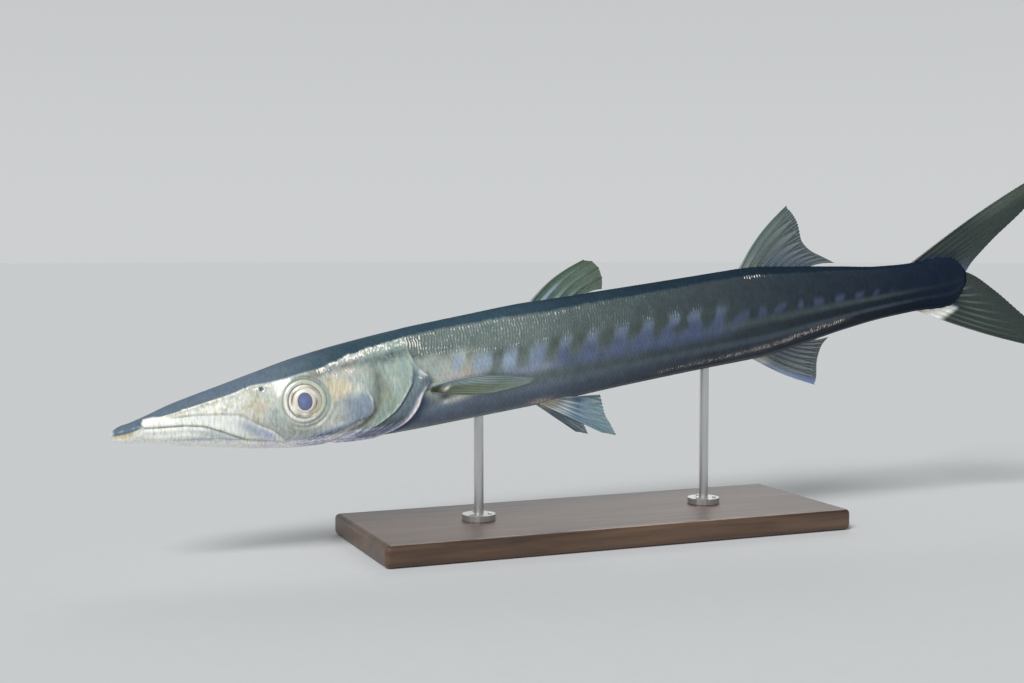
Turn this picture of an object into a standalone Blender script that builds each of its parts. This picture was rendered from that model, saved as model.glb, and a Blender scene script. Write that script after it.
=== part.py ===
"""A life-size still model of a barracuda, swimming slightly head down on a plain display stand.

The fish is laid out in its own frame, in metres: X runs from the tip of the lower jaw to the tail,
Z towards the back, and its left side faces -Y. Stations, heights and widths are written as shares of
the standard length, which is the length from the jaw tip to the end of the body without the tail fin.
"""

import math

import bmesh
import bpy
import numpy as np
from mathutils import Matrix

STANDARD_LENGTH = 0.78
HEAD_DOWN_DEG = 7.7
GAP = 0.0003
NOSE_HEIGHT = 0.105

# Station, back height, belly height, half width, height of the widest line, and how square the
# section is above and below that line (2 is an ellipse).
SECTIONS = (
    (0.000, 0.0046, -0.0112, 0.0085, -0.0034, 2.0, 2.0),
    (0.016, 0.0062, -0.0130, 0.0104, -0.0034, 2.0, 2.1),
    (0.030, 0.0092, -0.0147, 0.0124, -0.0034, 2.0, 2.2),
    (0.060, 0.0180, -0.0229, 0.0164, -0.0048, 2.0, 2.3),
    (0.110, 0.0280, -0.0342, 0.0214, -0.0070, 2.1, 2.3),
    (0.150, 0.0358, -0.0425, 0.0252, -0.0060, 2.3, 2.3),
    (0.190, 0.0430, -0.0475, 0.0288, -0.0040, 2.5, 2.2),
    (0.240, 0.0490, -0.0500, 0.0338, -0.0010, 2.4, 2.1),
    (0.300, 0.0540, -0.0513, 0.0376, 0.0010, 2.3, 2.1),
    (0.370, 0.0572, -0.0508, 0.0400, 0.0020, 2.2, 2.1),
    (0.450, 0.0600, -0.0500, 0.0412, 0.0030, 2.15, 2.1),
    (0.550, 0.0592, -0.0472, 0.0408, 0.0040, 2.15, 2.1),
    (0.650, 0.0588, -0.0455, 0.0390, 0.0045, 2.1, 2.1),
    (0.715, 0.0588, -0.0452, 0.0365, 0.0045, 2.1, 2.05),
    (0.780, 0.0516, -0.0388, 0.0312, 0.0045, 2.1, 2.0),
    (0.845, 0.0425, -0.0308, 0.0248, 0.0040, 2.1, 2.0),
    (0.900, 0.0348, -0.0264, 0.0196, 0.0035, 2.1, 2.0),
    (0.945, 0.0322, -0.0254, 0.0152, 0.0032, 2.1, 2.0),
    (0.985, 0.0336, -0.0276, 0.0098, 0.0030, 2.0, 2.0),
    (1.000, 0.0342, -0.0286, 0.0058, 0.0030, 2.0, 2.0),
)
NOSE_ROUND = 0.014

# Where the gill covers end and the trunk begins, then where they start: degrees from the back, station.
GILL_EDGE = (
    (0, 0.300), (45, 0.301), (67, 0.304), (80, 0.3110), (90, 0.3194), (99, 0.3118), (105, 0.3085),
    (116, 0.3045), (130, 0.2967), (142, 0.2870), (153, 0.2755), (165, 0.262), (180, 0.245),
)
COVER_FRONT = (
    (58, 0.262), (66, 0.2663), (86, 0.2655), (101, 0.2641), (114, 0.2590), (129, 0.2473), (144, 0.2312),
    (158, 0.213),
)
COVER_ARC_DEG = (60.0, 157.5)
COVER_DEG_PER_STATION = 1500
COVER_THICK = 0.0030
COVER_PROUD = 0.0002
COVER_BULGE = 0.0013
COVER_SEAT = 0.0048
COVER_BED_HEIGHT = 0.006
COVER_BED_OVERRUN = 0.03
THROAT_STATION = 0.285
HEAD_STRAIGHT_SHARE = 0.70

# The line of the mouth from the front of the upper jaw to the jaw joint, as station and height.
LIP_LINE = (
    (0.0265, 0.0200), (0.0278, 0.0070), (0.0310, 0.0004), (0.0450, -0.0010), (0.0687, -0.0031),
    (0.0867, -0.0068), (0.1019, -0.0139), (0.1160, -0.0219), (0.1270, -0.0278), (0.1400, -0.0312),
    (0.1550, -0.0348), (0.1680, -0.0388), (0.1740, -0.0450), (0.1765, -0.0600),
)
# The upper edge of the bone along the upper jaw.
UPPER_LIP_LINE = (
    (0.030, 0.0110), (0.0516, 0.0093), (0.0701, 0.0052), (0.0885, 0.0042), (0.1044, 0.0025),
    (0.1260, -0.0023), (0.1394, -0.0143), (0.1494, -0.0200), (0.1645, -0.0333),
)
LIP_RAISE = 0.0010

EYE_STATION = 0.1877
EYE_HEIGHT = 0.0015
EYE_RADIUS = 0.0150
EYE_DEPTH = 0.0080
EYE_SINK = 0.0040
LID_RADIUS = 0.0148
LID_THICK = 0.0012
NOSTRILS = ((0.1342, 0.0237, 0.0010), (0.1481, 0.0201, 0.0016))

BODY_CUTS = (0.437, 0.700, 0.850)
HEAD_RINGS = 36
SIDES = 48
TRUNK_RING_STEP = 0.026

# Each upright fin: first and last root stations, up or down, number of rays, how far the rays bow,
# and the angle above the axis and the length of rays spread evenly from the first to the last.
FIRST_DORSAL = (
    0.4502, 0.515, 1, 5, 0.06,
    (28.2, 28.4, 26.0, 21.0, 8.5), (0.0800, 0.0735, 0.0616, 0.0447, 0.0238),
)
SECOND_DORSAL = (
    0.711, 0.800, 1, 10, 0.053,
    (42.2, 35.6, 24.0, 16.0, 9.0, 0.0), (0.0963, 0.0800, 0.0570, 0.0475, 0.0430, 0.0395),
)
ANAL = (
    0.714, 0.790, -1, 10, 0.031,
    (29.3, 27.1, 22.2, 17.0, 9.5, 2.0), (0.0940, 0.0790, 0.0617, 0.0480, 0.0375, 0.0310),
)

# The hind edge of each lobe of the tail fin, from its tip to the fork.
UPPER_LOBE = (
    (1.176, 0.124), (1.158, 0.1035), (1.120, 0.0745), (1.0676, 0.0435), (1.033, 0.0195), (1.0246, 0.0110),
)
LOWER_LOBE = (
    (1.168, -0.113), (1.149, -0.0925), (1.107, -0.0565), (1.068, -0.0205), (1.037, 0.0040), (1.0246, 0.0106),
)
LOBE_RAYS = 9
LOBE_FIRST_ROOT = 0.945
LOBE_EARLY_ROOTS = 6
LOBE_BOW = 0.02
FORK_ROOT_HEIGHT = 0.0040

# Station and height of both ends of the pectoral root and of its ray tips, from the upper edge down.
PECTORAL_ROOT = ((0.3175, -0.0050), (0.3165, -0.0100))
PECTORAL_TIPS = (
    (0.4262, -0.0118), (0.4225, -0.0146), (0.4120, -0.0162), (0.3980, -0.0172), (0.3780, -0.0179),
)
PECTORAL_RAYS = 8
PECTORAL_FLARE = 0.0085
PECTORAL_ARCH = 0.0065
PECTORAL_ARCH_FADE = 1.4

# Station and degrees round from the back of both ends of the pelvic root, and station, side and height
# of its ray tips. The tips of the right fin hang a little further forward and lower.
PELVIC_ROOT = ((0.4430, 162.0), (0.4640, 156.0))
PELVIC_TIPS = (
    (0.5080, -0.0240, -0.0905), (0.5234, -0.0240, -0.0965), (0.5188, -0.0220, -0.0837),
    (0.5143, -0.0200, -0.0697), (0.5154, -0.0140, -0.0505),
)
RIGHT_PELVIC_SHIFT = (-0.010, 0.0, -0.003)
PELVIC_RAYS = 6

FIN_ROOT_GAP = 0.0004
PELVIC_ROOT_GAP = 0.0007
RAY_HALF_THICK = 0.0009
WEB_HALF_THICK = 0.0003

BASE_SIZE = (0.42, 0.15, 0.018)
BASE_BEVEL = 0.004
ROD_RADIUS = 0.004
ROD_FLANGE_RADIUS = 0.014
ROD_FLANGE_HEIGHT = 0.005
ROD_SIDES = 20
RODS = (("stand_rod_front", 0.385), ("stand_rod_rear", 0.660))


def smooth_step(value):
    value = np.clip(value, 0.0, 1.0)
    return value * value * (3.0 - 2.0 * value)


def smooth_curve(stations, values, at):
    """A smooth curve through the given values that never overshoots them."""
    x, y = np.asarray(stations, float), np.asarray(values, float)
    step = np.diff(x)
    slope = np.diff(y) / step
    tangent = np.zeros(len(x))
    tangent[0], tangent[-1] = slope[0], slope[-1]
    same_way = slope[:-1] * slope[1:] > 0
    weight_a, weight_b = 2 * step[1:] + step[:-1], step[1:] + 2 * step[:-1]
    safe = np.where(same_way, slope[:-1] * slope[1:], 1.0)
    mean = (weight_a + weight_b) * safe / (weight_a * slope[1:] + weight_b * slope[:-1] + 1e-30)
    tangent[1:-1] = np.where(same_way, mean, 0.0)
    at = np.clip(np.asarray(at, float), x[0], x[-1])
    i = np.clip(np.searchsorted(x, at, side="right") - 1, 0, len(x) - 2)
    t = (at - x[i]) / step[i]
    return (
        (1 + 2 * t) * (1 - t) ** 2 * y[i]
        + t * (1 - t) ** 2 * step[i] * tangent[i]
        + t * t * (3 - 2 * t) * y[i + 1]
        + t * t * (t - 1) * step[i] * tangent[i + 1]
    )


def section(station):
    """Back, belly, half width, widest height and the two powers of the section at a station."""
    columns = np.array(SECTIONS).T
    back, belly, width, waist, upper, lower = (smooth_curve(columns[0], c, station) for c in columns[1:])
    nose = np.sqrt(1.0 - (1.0 - np.clip(np.asarray(station, float) / NOSE_ROUND, 0.0, 1.0)) ** 2)
    return waist + (back - waist) * nose, waist + (belly - waist) * nose, width * nose, waist, upper, lower


def line_height(line, station):
    return np.interp(station, [p[0] for p in line], [p[1] for p in line])


def raised(station, height):
    """How far the bone of the upper jaw stands out from the plain head, in metres."""
    top, foot = line_height(UPPER_LIP_LINE, station), line_height(LIP_LINE, station)
    blade = smooth_step((top - height) / 0.004) * smooth_step((height - foot) / 0.0012)
    reach = smooth_step((station - 0.030) / 0.01) * smooth_step((0.165 - station) / 0.012)
    return LIP_RAISE * blade * reach


def plain_skin(station, turn):
    """Points of the plain body surface. turn is the angle round from the back, positive on the left."""
    back, belly, width, waist, upper, lower = section(station)
    upward = np.cos(turn) >= 0
    power = np.where(upward, upper, lower)
    reach = np.where(upward, back - waist, waist - belly)
    across = np.abs(np.sin(turn)) ** (2 / power) * np.sign(np.sin(turn))
    height = waist + reach * np.abs(np.cos(turn)) ** (2 / power) * np.where(upward, 1, -1)
    station = np.broadcast_to(station, np.shape(height))
    return np.stack([station, -width * across, height], axis=-1) * STANDARD_LENGTH


def outward(station, turn):
    """Unit normals of the plain body surface."""
    nudge = 1e-4
    along = plain_skin(station + nudge, turn) - plain_skin(station - nudge, turn)
    round_ = plain_skin(station, turn + nudge) - plain_skin(station, turn - nudge)
    normal = np.cross(along, round_)
    normal /= np.maximum(np.linalg.norm(normal, axis=-1, keepdims=True), 1e-12)
    middle = plain_skin(station, turn)
    middle[..., 1:] -= np.stack([0 * station * turn, section(station)[3] * STANDARD_LENGTH + 0 * turn], -1)
    facing = np.sign(normal[..., 1] * middle[..., 1] + normal[..., 2] * middle[..., 2] + 1e-15)
    return normal * facing[..., None]


def skin(station, turn, rise=0.0):
    """Points of the body surface, moved outwards by rise metres."""
    station, turn = np.broadcast_arrays(np.asarray(station, float), np.asarray(turn, float))
    points = plain_skin(station, turn)
    height = points[..., 2] / STANDARD_LENGTH
    return points + outward(station, turn) * (raised(station, height) + rise)[..., None]


def gill_edge(turn):
    degrees = np.degrees(np.abs((np.asarray(turn) + math.pi) % (2 * math.pi) - math.pi))
    return smooth_curve([p[0] for p in GILL_EDGE], [p[1] for p in GILL_EDGE], degrees)


def mesh_from(name, points, faces):
    """A mesh whose faces point outwards, shaded smooth except at sharp edges."""
    mesh = bpy.data.meshes.new(name)
    mesh.from_pydata([tuple(p) for p in points], [], faces)
    shell = bmesh.new()
    shell.from_mesh(mesh)
    bmesh.ops.recalc_face_normals(shell, faces=shell.faces)
    if shell.calc_volume(signed=True) < 0:
        bmesh.ops.reverse_faces(shell, faces=shell.faces)
    shell.to_mesh(mesh)
    shell.free()
    mesh.shade_smooth()
    mesh.set_sharp_from_angle(angle=math.radians(40))
    return mesh


def add_object(name, mesh, material, parent=None):
    thing = bpy.data.objects.new(name, mesh)
    bpy.context.scene.collection.objects.link(thing)
    if material:
        mesh.materials.append(material)
    thing.parent = parent
    return thing


def make_material(name, color, roughness, metallic=0.0):
    material = bpy.data.materials.new(name)
    material.use_nodes = True
    shader = material.node_tree.nodes["Principled BSDF"]
    shader.inputs["Base Color"].default_value = (*color, 1.0)
    shader.inputs["Roughness"].default_value = roughness
    shader.inputs["Metallic"].default_value = metallic
    return material


def tube_mesh(name, rings, front, rear):
    """A closed skin round a stack of rings, with a point or a fan at each end."""
    count, sides = rings.shape[:2]
    points = [*rings.reshape(-1, 3), front, rear]
    first_tip, last_tip = count * sides, count * sides + 1
    faces = []
    for i in range(count - 1):
        for j in range(sides):
            k = (j + 1) % sides
            a, b, c, d = i * sides + j, i * sides + k, (i + 1) * sides + k, (i + 1) * sides + j
            faces += [(a, b, c), (a, c, d)] if 2 * j < sides else [(a, b, d), (b, c, d)]
    for j in range(sides):
        k = (j + 1) % sides
        faces += [(first_tip, k, j), (last_tip, (count - 1) * sides + j, (count - 1) * sides + k)]
    return mesh_from(name, points, faces)


def slab_mesh(name, front, back):
    """A closed sheet between two grids of points, split into triangles alike on both faces."""
    rows, columns = front.shape[:2]
    points = [*front.reshape(-1, 3), *back.reshape(-1, 3)]
    far = rows * columns
    faces = []
    for i in range(rows - 1):
        for j in range(columns - 1):
            a, b = i * columns + j, i * columns + j + 1
            c, d = b + columns, a + columns
            faces += [(a, b, c), (a, c, d), (far + a, far + c, far + b), (far + a, far + d, far + c)]
    rim = list(range(columns))
    rim += [i * columns + columns - 1 for i in range(1, rows)]
    rim += [(rows - 1) * columns + j for j in range(columns - 2, -1, -1)]
    rim += [i * columns for i in range(rows - 2, 0, -1)]
    for a, b in zip(rim, rim[1:] + rim[:1]):
        faces += [(a, far + b, b), (a, far + a, far + b)]
    return mesh_from(name, points, faces)


def turns(sides):
    return np.arange(sides) * 2 * math.pi / sides


def head_mesh(name):
    """The whole head in one closed skin, out to the edge of the gill covers."""
    turn = turns(SIDES)[None, :]
    share = np.linspace(0.0, 1.0, HEAD_RINGS + 1)[1:, None]
    steady = THROAT_STATION * share ** 1.25
    edge = gill_edge(turn) - GAP / STANDARD_LENGTH / 2
    follow = smooth_step((share - HEAD_STRAIGHT_SHARE) / (1.0 - HEAD_STRAIGHT_SHARE))
    station = steady + (edge - THROAT_STATION) * follow
    rings = skin(station, np.broadcast_to(turn, station.shape))
    rings = np.concatenate([rings, skin(edge, turn, -COVER_SEAT)])
    nose = np.array([0.0, 0.0, section(0.0)[3]]) * STANDARD_LENGTH
    throat = np.array([THROAT_STATION * STANDARD_LENGTH - GAP / 2, 0.0, 0.0])
    return tube_mesh(name, rings, nose, throat)


def trunk_mesh(name, start, end):
    """A length of the body between two stations. The first length starts at the gill edge."""
    turn = turns(SIDES)[None, :]
    count = max(3, round((end - (start or THROAT_STATION)) / TRUNK_RING_STEP))
    share = np.linspace(0.0, 1.0, count + 1)[:, None]
    half_gap = GAP / STANDARD_LENGTH / 2
    first = gill_edge(turn) + half_gap if start is None else start + half_gap + 0 * turn
    last = end - half_gap
    rings = skin(first + (last - first) * share, turn + 0 * share)
    if start is None:
        rings = np.concatenate([skin(first, turn, -COVER_SEAT), rings])
    front_station = THROAT_STATION if start is None else start
    waist = section(np.array([front_station, end]))[3]
    front = np.array([front_station + half_gap, 0.0, 0.0 if start is None else waist[0]]) * STANDARD_LENGTH
    rear = np.array([last, 0.0, waist[1]]) * STANDARD_LENGTH
    return tube_mesh(name, rings, front, rear)


def cover_grid(side, rise_front, rise_rear, grow):
    """Points of a gill cover's face. grow widens the patch on all four edges, in metres."""
    rows, columns = 9, 14
    spread = grow / STANDARD_LENGTH
    degrees = np.linspace(*COVER_ARC_DEG, columns)
    degrees += np.linspace(-1, 1, columns) * spread * COVER_DEG_PER_STATION
    front = smooth_curve([p[0] for p in COVER_FRONT], [p[1] for p in COVER_FRONT], degrees) - spread
    rear = gill_edge(np.radians(degrees)) - 1.5 * GAP / STANDARD_LENGTH
    rear += COVER_BED_OVERRUN if grow else 0.0
    share = np.linspace(0.0, 1.0, rows)[:, None]
    station = front + (rear - front) * share
    rise = rise_front + (rise_rear - rise_front) * smooth_step(share) + 0 * station
    turn = side * np.radians(degrees)[None, :] + 0 * share
    return skin(station, turn, rise)


def build_head(pose, flesh):
    whole = head_mesh("head")
    head = add_object("head", whole, flesh, pose)
    jaw = add_object("lower_jaw", whole.copy(), None, pose)

    lids, cutters = (bpy.data.collections.new(name) for name in ("lids", "head_cutters"))
    for collection in (lids, cutters):
        bpy.context.scene.collection.children.link(collection)
    for side, word in ((1, "left"), (-1, "right")):
        cover = slab_mesh(
            f"gill_cover_{word}",
            cover_grid(side, COVER_PROUD, COVER_BULGE, 0.0),
            cover_grid(side, -COVER_THICK, -COVER_THICK, 0.0),
        )
        add_object(f"gill_cover_{word}", cover, flesh, pose)
        bed = slab_mesh(
            f"gill_bed_{word}",
            cover_grid(side, COVER_BED_HEIGHT, COVER_BED_HEIGHT, GAP),
            cover_grid(side, -COVER_THICK - GAP, -COVER_THICK - GAP, GAP),
        )
        add_cutter(f"gill_bed_{word}", bed, pose, cutters)
        add_cutter(f"lid_{word}", lid_mesh(f"lid_{word}", side), pose, lids)
        add_cutter(f"eye_socket_{word}", eye_mesh(f"eye_socket_{word}", side, GAP), pose, cutters)
        for number, (station, height, radius) in enumerate(NOSTRILS):
            pit = pit_mesh(f"nostril_{number}_{word}", side, station, height, radius)
            add_cutter(pit.name, pit, pose, cutters)
    add_cutter("jaw_space", jaw_prism("jaw_space", GAP), pose, cutters)
    carve(head, "UNION", collection=lids)
    carve(head, "DIFFERENCE", collection=cutters)

    keep = add_cutter("jaw_keep", jaw_prism("jaw_keep", 0.0), pose)
    carve(jaw, "INTERSECT", cutter=keep)


def add_cutter(name, mesh, parent, collection=None):
    cutter = add_object(name, mesh, None, parent)
    cutter.hide_render = True
    cutter.display_type = "WIRE"
    if collection:
        bpy.context.scene.collection.objects.unlink(cutter)
        collection.objects.link(cutter)
    return cutter


def carve(target, operation, cutter=None, collection=None):
    boolean = target.modifiers.new(operation.title(), "BOOLEAN")
    boolean.operation = operation
    boolean.solver = "EXACT"
    if collection:
        boolean.operand_type = "COLLECTION"
        boolean.collection = collection
    else:
        boolean.object = cutter


def jaw_prism(name, grow):
    """The space of the lower jaw: everything below and ahead of the line of the mouth."""
    line = np.array(LIP_LINE) * STANDARD_LENGTH
    heading = np.gradient(line, axis=0)
    heading /= np.linalg.norm(heading, axis=1, keepdims=True)
    line = line + grow * np.stack([-heading[:, 1], heading[:, 0]], axis=1)
    ahead, below, wide = -0.02, line[-1, 1], 0.08
    outline = [*line, (ahead, below), (ahead, line[0, 1])]
    near = [(x, -wide, z) for x, z in outline]
    far = [(x, wide, z) for x, z in outline]
    count = len(outline)
    faces = [tuple(range(count)), tuple(range(2 * count - 1, count - 1, -1))]
    faces += [(i, (i + 1) % count, count + (i + 1) % count, count + i) for i in range(count)]
    return mesh_from(name, near + far, faces)


def side_turn(station, height):
    """The angle round from the back at which the skin reaches a height."""
    back, belly, _, waist, upper, lower = section(station)
    above = np.clip((height - waist) / (back - waist), 0.0, 1.0) ** (upper / 2)
    below = np.clip((waist - height) / (waist - belly), 0.0, 1.0) ** (lower / 2)
    return np.where(height >= waist, np.arccos(above), math.pi - np.arccos(below))


def facing_matrix(side, station, height, sink):
    """A frame on the skin whose Z points straight out of it."""
    turn = side * side_turn(station, height)
    at, normal = skin(station, turn, -sink), outward(np.array(station), np.array(turn))
    across = np.cross((0.0, 0.0, 1.0), normal)
    across /= np.linalg.norm(across)
    up = np.cross(normal, across)
    matrix = np.eye(4)
    matrix[:3, 0], matrix[:3, 1], matrix[:3, 2], matrix[:3, 3] = across, up, normal, at
    return Matrix(matrix.tolist())


def ball_mesh(name, matrix, radius, depth, segments, rings):
    ball = bmesh.new()
    bmesh.ops.create_uvsphere(ball, u_segments=segments, v_segments=rings, radius=1.0)
    bmesh.ops.scale(ball, vec=(radius, radius, depth), verts=ball.verts)
    bmesh.ops.transform(ball, matrix=matrix, verts=ball.verts)
    mesh = bpy.data.meshes.new(name)
    ball.to_mesh(mesh)
    ball.free()
    mesh.shade_smooth()
    return mesh


def lid_mesh(name, side):
    """The soft rim round an eye: a ring that lies along the skin."""
    round_, sides = 28, 8
    centre = skin(EYE_STATION, side * side_turn(EYE_STATION, EYE_HEIGHT))
    points = []
    for angle in turns(round_):
        station = EYE_STATION + LID_RADIUS / STANDARD_LENGTH * math.cos(angle)
        height = EYE_HEIGHT + LID_RADIUS / STANDARD_LENGTH * math.sin(angle)
        turn = side * side_turn(station, height)
        at, normal = skin(station, turn), outward(np.array(station), np.array(turn))
        radial = at - centre
        radial -= normal * (radial @ normal)
        radial /= np.linalg.norm(radial)
        points += [at + LID_THICK * (math.cos(a) * radial + math.sin(a) * normal) for a in turns(sides)]
    faces = []
    for i in range(round_):
        for j in range(sides):
            k, n = (j + 1) % sides, (i + 1) % round_
            faces.append((i * sides + j, i * sides + k, n * sides + k, n * sides + j))
    return mesh_from(name, points, faces)


def eye_mesh(name, side, grow):
    matrix = facing_matrix(side, EYE_STATION, EYE_HEIGHT, EYE_SINK)
    return ball_mesh(name, matrix, EYE_RADIUS + grow, EYE_DEPTH + grow, 24, 10)


def pit_mesh(name, side, station, height, radius):
    matrix = facing_matrix(side, station, height, 0.0)
    return ball_mesh(name, matrix, radius, radius * 1.2, 10, 6)


def build_trunk(pose, flesh):
    starts = (None, *BODY_CUTS)
    ends = (*BODY_CUTS, 1.0)
    names = ("body_front", "body_middle", "body_rear", "tail_stem")
    for name, start, end in zip(names, starts, ends):
        add_object(name, trunk_mesh(name, start, end), flesh, pose)


def ray_halves(rays, rows):
    """Half the thickness of a fin: thick along each ray, thin in the web between, thinner to the tips."""
    share = np.linspace(0.0, 1.0, rows)[:, None]
    on_ray = np.arange(2 * rays - 1)[None, :] % 2 == 0
    ray = RAY_HALF_THICK + (WEB_HALF_THICK - RAY_HALF_THICK) * share
    return np.where(on_ray, ray, WEB_HALF_THICK)[..., None]


def flat_fin(name, roots, tips, rays, bow):
    """An upright fin of rays joined by a web. Each ray bows out on its way from root to tip."""
    rows = 9
    share = np.linspace(0.0, 1.0, rows)[:, None, None]
    aside = np.stack([roots[:, 2] - tips[:, 2], 0 * tips[:, 1], tips[:, 0] - roots[:, 0]], axis=-1)
    sheet = roots + (tips - roots) * share + bow * aside * np.sin(math.pi * share)
    offset = ray_halves(rays, rows) * np.array([0.0, 1.0, 0.0])
    return slab_mesh(name, sheet + offset, sheet - offset)


def build_upright_fin(name, form, pose, web):
    origin, end, up, rays, bow, angles, lengths = form
    place = np.linspace(0.0, 1.0, 2 * rays - 1)
    known = np.linspace(0.0, 1.0, len(angles))
    station = origin + (end - origin) * place
    edge = section(station)[0 if up > 0 else 1]
    angle = np.radians(smooth_curve(known, angles, place))
    length = smooth_curve(known, lengths, place)
    roots = np.stack([station, 0 * station, edge + up * FIN_ROOT_GAP / STANDARD_LENGTH], axis=-1)
    reach = np.stack([np.cos(angle), 0 * angle, up * np.sin(angle)], axis=-1) * length[:, None]
    mesh = flat_fin(name, roots * STANDARD_LENGTH, (roots + reach) * STANDARD_LENGTH, rays, up * bow)
    add_object(name, mesh, web, pose)


def through(points, share):
    """Places along a chain of points, evenly by number and rounded at the corners."""
    known = np.linspace(0.0, 1.0, len(points))
    return np.stack([smooth_curve(known, column, share) for column in np.array(points).T], axis=-1)


def build_tail_fin(pose, web):
    """Two lobes that start on the tail stem and meet at the fork."""
    columns = 2 * LOBE_RAYS - 1
    gap = GAP / STANDARD_LENGTH
    lobes = (("tail_fin_upper", 0, 1, UPPER_LOBE), ("tail_fin_lower", 1, -1, LOWER_LOBE))
    for name, edge, up, margin in lobes:
        early = np.linspace(LOBE_FIRST_ROOT, 1.0, LOBE_EARLY_ROOTS, endpoint=False)
        clear = up * gap * 1.5
        fork = FORK_ROOT_HEIGHT + up * gap / 2
        late = np.linspace(section(1.0)[edge] + clear, fork, columns - LOBE_EARLY_ROOTS)
        station = np.concatenate([early, np.full(len(late), 1.0 + gap)])
        height = np.concatenate([section(early)[edge] + clear, late])
        roots = np.stack([station, 0 * station, height], axis=-1)
        edge_points = through(margin, np.linspace(0.0, 1.0, columns))
        tips = np.stack([edge_points[:, 0], 0 * station, edge_points[:, 1] + up * gap / 2], axis=-1)
        mesh = flat_fin(name, roots * STANDARD_LENGTH, tips * STANDARD_LENGTH, LOBE_RAYS, up * LOBE_BOW)
        add_object(name, mesh, web, pose)


def build_pectoral(side, word, pose, web):
    """A fin that lies back along the flank and stands off it a little towards the tip."""
    rows, columns = 9, 2 * PECTORAL_RAYS - 1
    share = np.linspace(0.0, 1.0, columns)
    root, tip = through(PECTORAL_ROOT, share), through(PECTORAL_TIPS, share)
    along = np.linspace(0.0, 1.0, rows)[:, None]
    arch = PECTORAL_ARCH * np.sin(math.pi * along) * (1 - PECTORAL_ARCH_FADE * share)
    station = root[:, 0] + (tip[:, 0] - root[:, 0]) * along
    height = root[:, 1] + (tip[:, 1] - root[:, 1]) * along + arch
    turn = side * side_turn(station, height)
    half = ray_halves(PECTORAL_RAYS, rows)[..., 0]
    lift = GAP + RAY_HALF_THICK + PECTORAL_FLARE * along
    name = f"pectoral_fin_{word}"
    mesh = slab_mesh(name, skin(station, turn, lift + half), skin(station, turn, lift - half))
    add_object(name, mesh, web, pose)


def build_pelvic(side, word, pose, web):
    """A fin that hangs from the belly, swept back and a little outwards."""
    rows, columns = 8, 2 * PELVIC_RAYS - 1
    share = np.linspace(0.0, 1.0, columns)
    shift = (0.0, 0.0, 0.0) if side > 0 else RIGHT_PELVIC_SHIFT
    root, tip = through(PELVIC_ROOT, share), through(PELVIC_TIPS, share) + shift
    roots = skin(root[:, 0], side * np.radians(root[:, 1]), PELVIC_ROOT_GAP)
    tips = tip * STANDARD_LENGTH * (1, side, 1)
    along = np.linspace(0.0, 1.0, rows)[:, None, None]
    sheet = roots + (tips - roots) * along
    normal = np.cross(tips[0] - roots[0], tips[-1] - roots[0])
    normal /= np.linalg.norm(normal)
    offset = ray_halves(PELVIC_RAYS, rows) * normal
    name = f"pelvic_fin_{word}"
    add_object(name, slab_mesh(name, sheet + offset, sheet - offset), web, pose)


def belly_height(x, y, place):
    """The world height of the belly above a point of the floor, and the station it lies at."""
    pitch = math.radians(HEAD_DOWN_DEG)
    station = 0.5
    for _ in range(12):
        _, belly, width, waist, _, lower = section(station)
        across = min(abs(y) / STANDARD_LENGTH / width, 1.0)
        height = waist - (waist - belly) * (1 - across ** lower) ** (1 / lower)
        station = ((x - place.x) / STANDARD_LENGTH + height * math.sin(pitch)) / math.cos(pitch)
    return place.z + STANDARD_LENGTH * (station * math.sin(pitch) + height * math.cos(pitch))


def rod_mesh(name, x, place):
    """A turned rod with a foot flange, its top shaped to the belly above it."""
    floor = BASE_SIZE[2] + GAP
    profile = (
        (ROD_FLANGE_RADIUS, floor),
        (ROD_FLANGE_RADIUS, floor + ROD_FLANGE_HEIGHT),
        (ROD_RADIUS, floor + ROD_FLANGE_HEIGHT),
        (ROD_RADIUS, None),
    )
    angle = turns(ROD_SIDES)
    rings = []
    for radius, height in profile:
        ring_x, ring_y = x + radius * np.cos(angle), radius * np.sin(angle)
        if height is None:
            ring_z = [belly_height(px, py, place) - GAP for px, py in zip(ring_x, ring_y)]
        else:
            ring_z = np.full(ROD_SIDES, height)
        rings.append(np.stack([ring_x, ring_y, ring_z], axis=-1))
    top = (x, 0.0, belly_height(x, 0.0, place) - GAP)
    return tube_mesh(name, np.array(rings), (x, 0.0, floor), top)


def build_stand(place, wood, steel):
    along = STANDARD_LENGTH * math.cos(math.radians(HEAD_DOWN_DEG))
    spots = [place.x + along * station for _, station in RODS]
    for (name, _), x in zip(RODS, spots):
        add_object(name, rod_mesh(name, x, place), steel)
    base = bmesh.new()
    bmesh.ops.create_cube(base, size=1.0)
    bmesh.ops.scale(base, vec=BASE_SIZE, verts=base.verts)
    bmesh.ops.translate(base, vec=(sum(spots) / 2, 0.0, BASE_SIZE[2] / 2), verts=base.verts)
    mesh = bpy.data.meshes.new("stand_base")
    base.to_mesh(mesh)
    base.free()
    board = add_object("stand_base", mesh, wood)
    bevel = board.modifiers.new("Bevel", "BEVEL")
    bevel.width = BASE_BEVEL
    bevel.segments = 3


def centre_on_floor():
    """Move everything along X until the middle of the whole model stands over the origin."""
    depsgraph = bpy.context.evaluated_depsgraph_get()
    shown = [thing for thing in bpy.data.objects if thing.type == "MESH" and not thing.hide_render]
    reach = []
    for thing in shown:
        body = thing.evaluated_get(depsgraph)
        reach += [(body.matrix_world @ corner.co).x for corner in body.data.vertices]
    middle = (min(reach) + max(reach)) / 2
    for thing in bpy.data.objects:
        if thing.parent is None:
            thing.location.x -= middle


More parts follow.
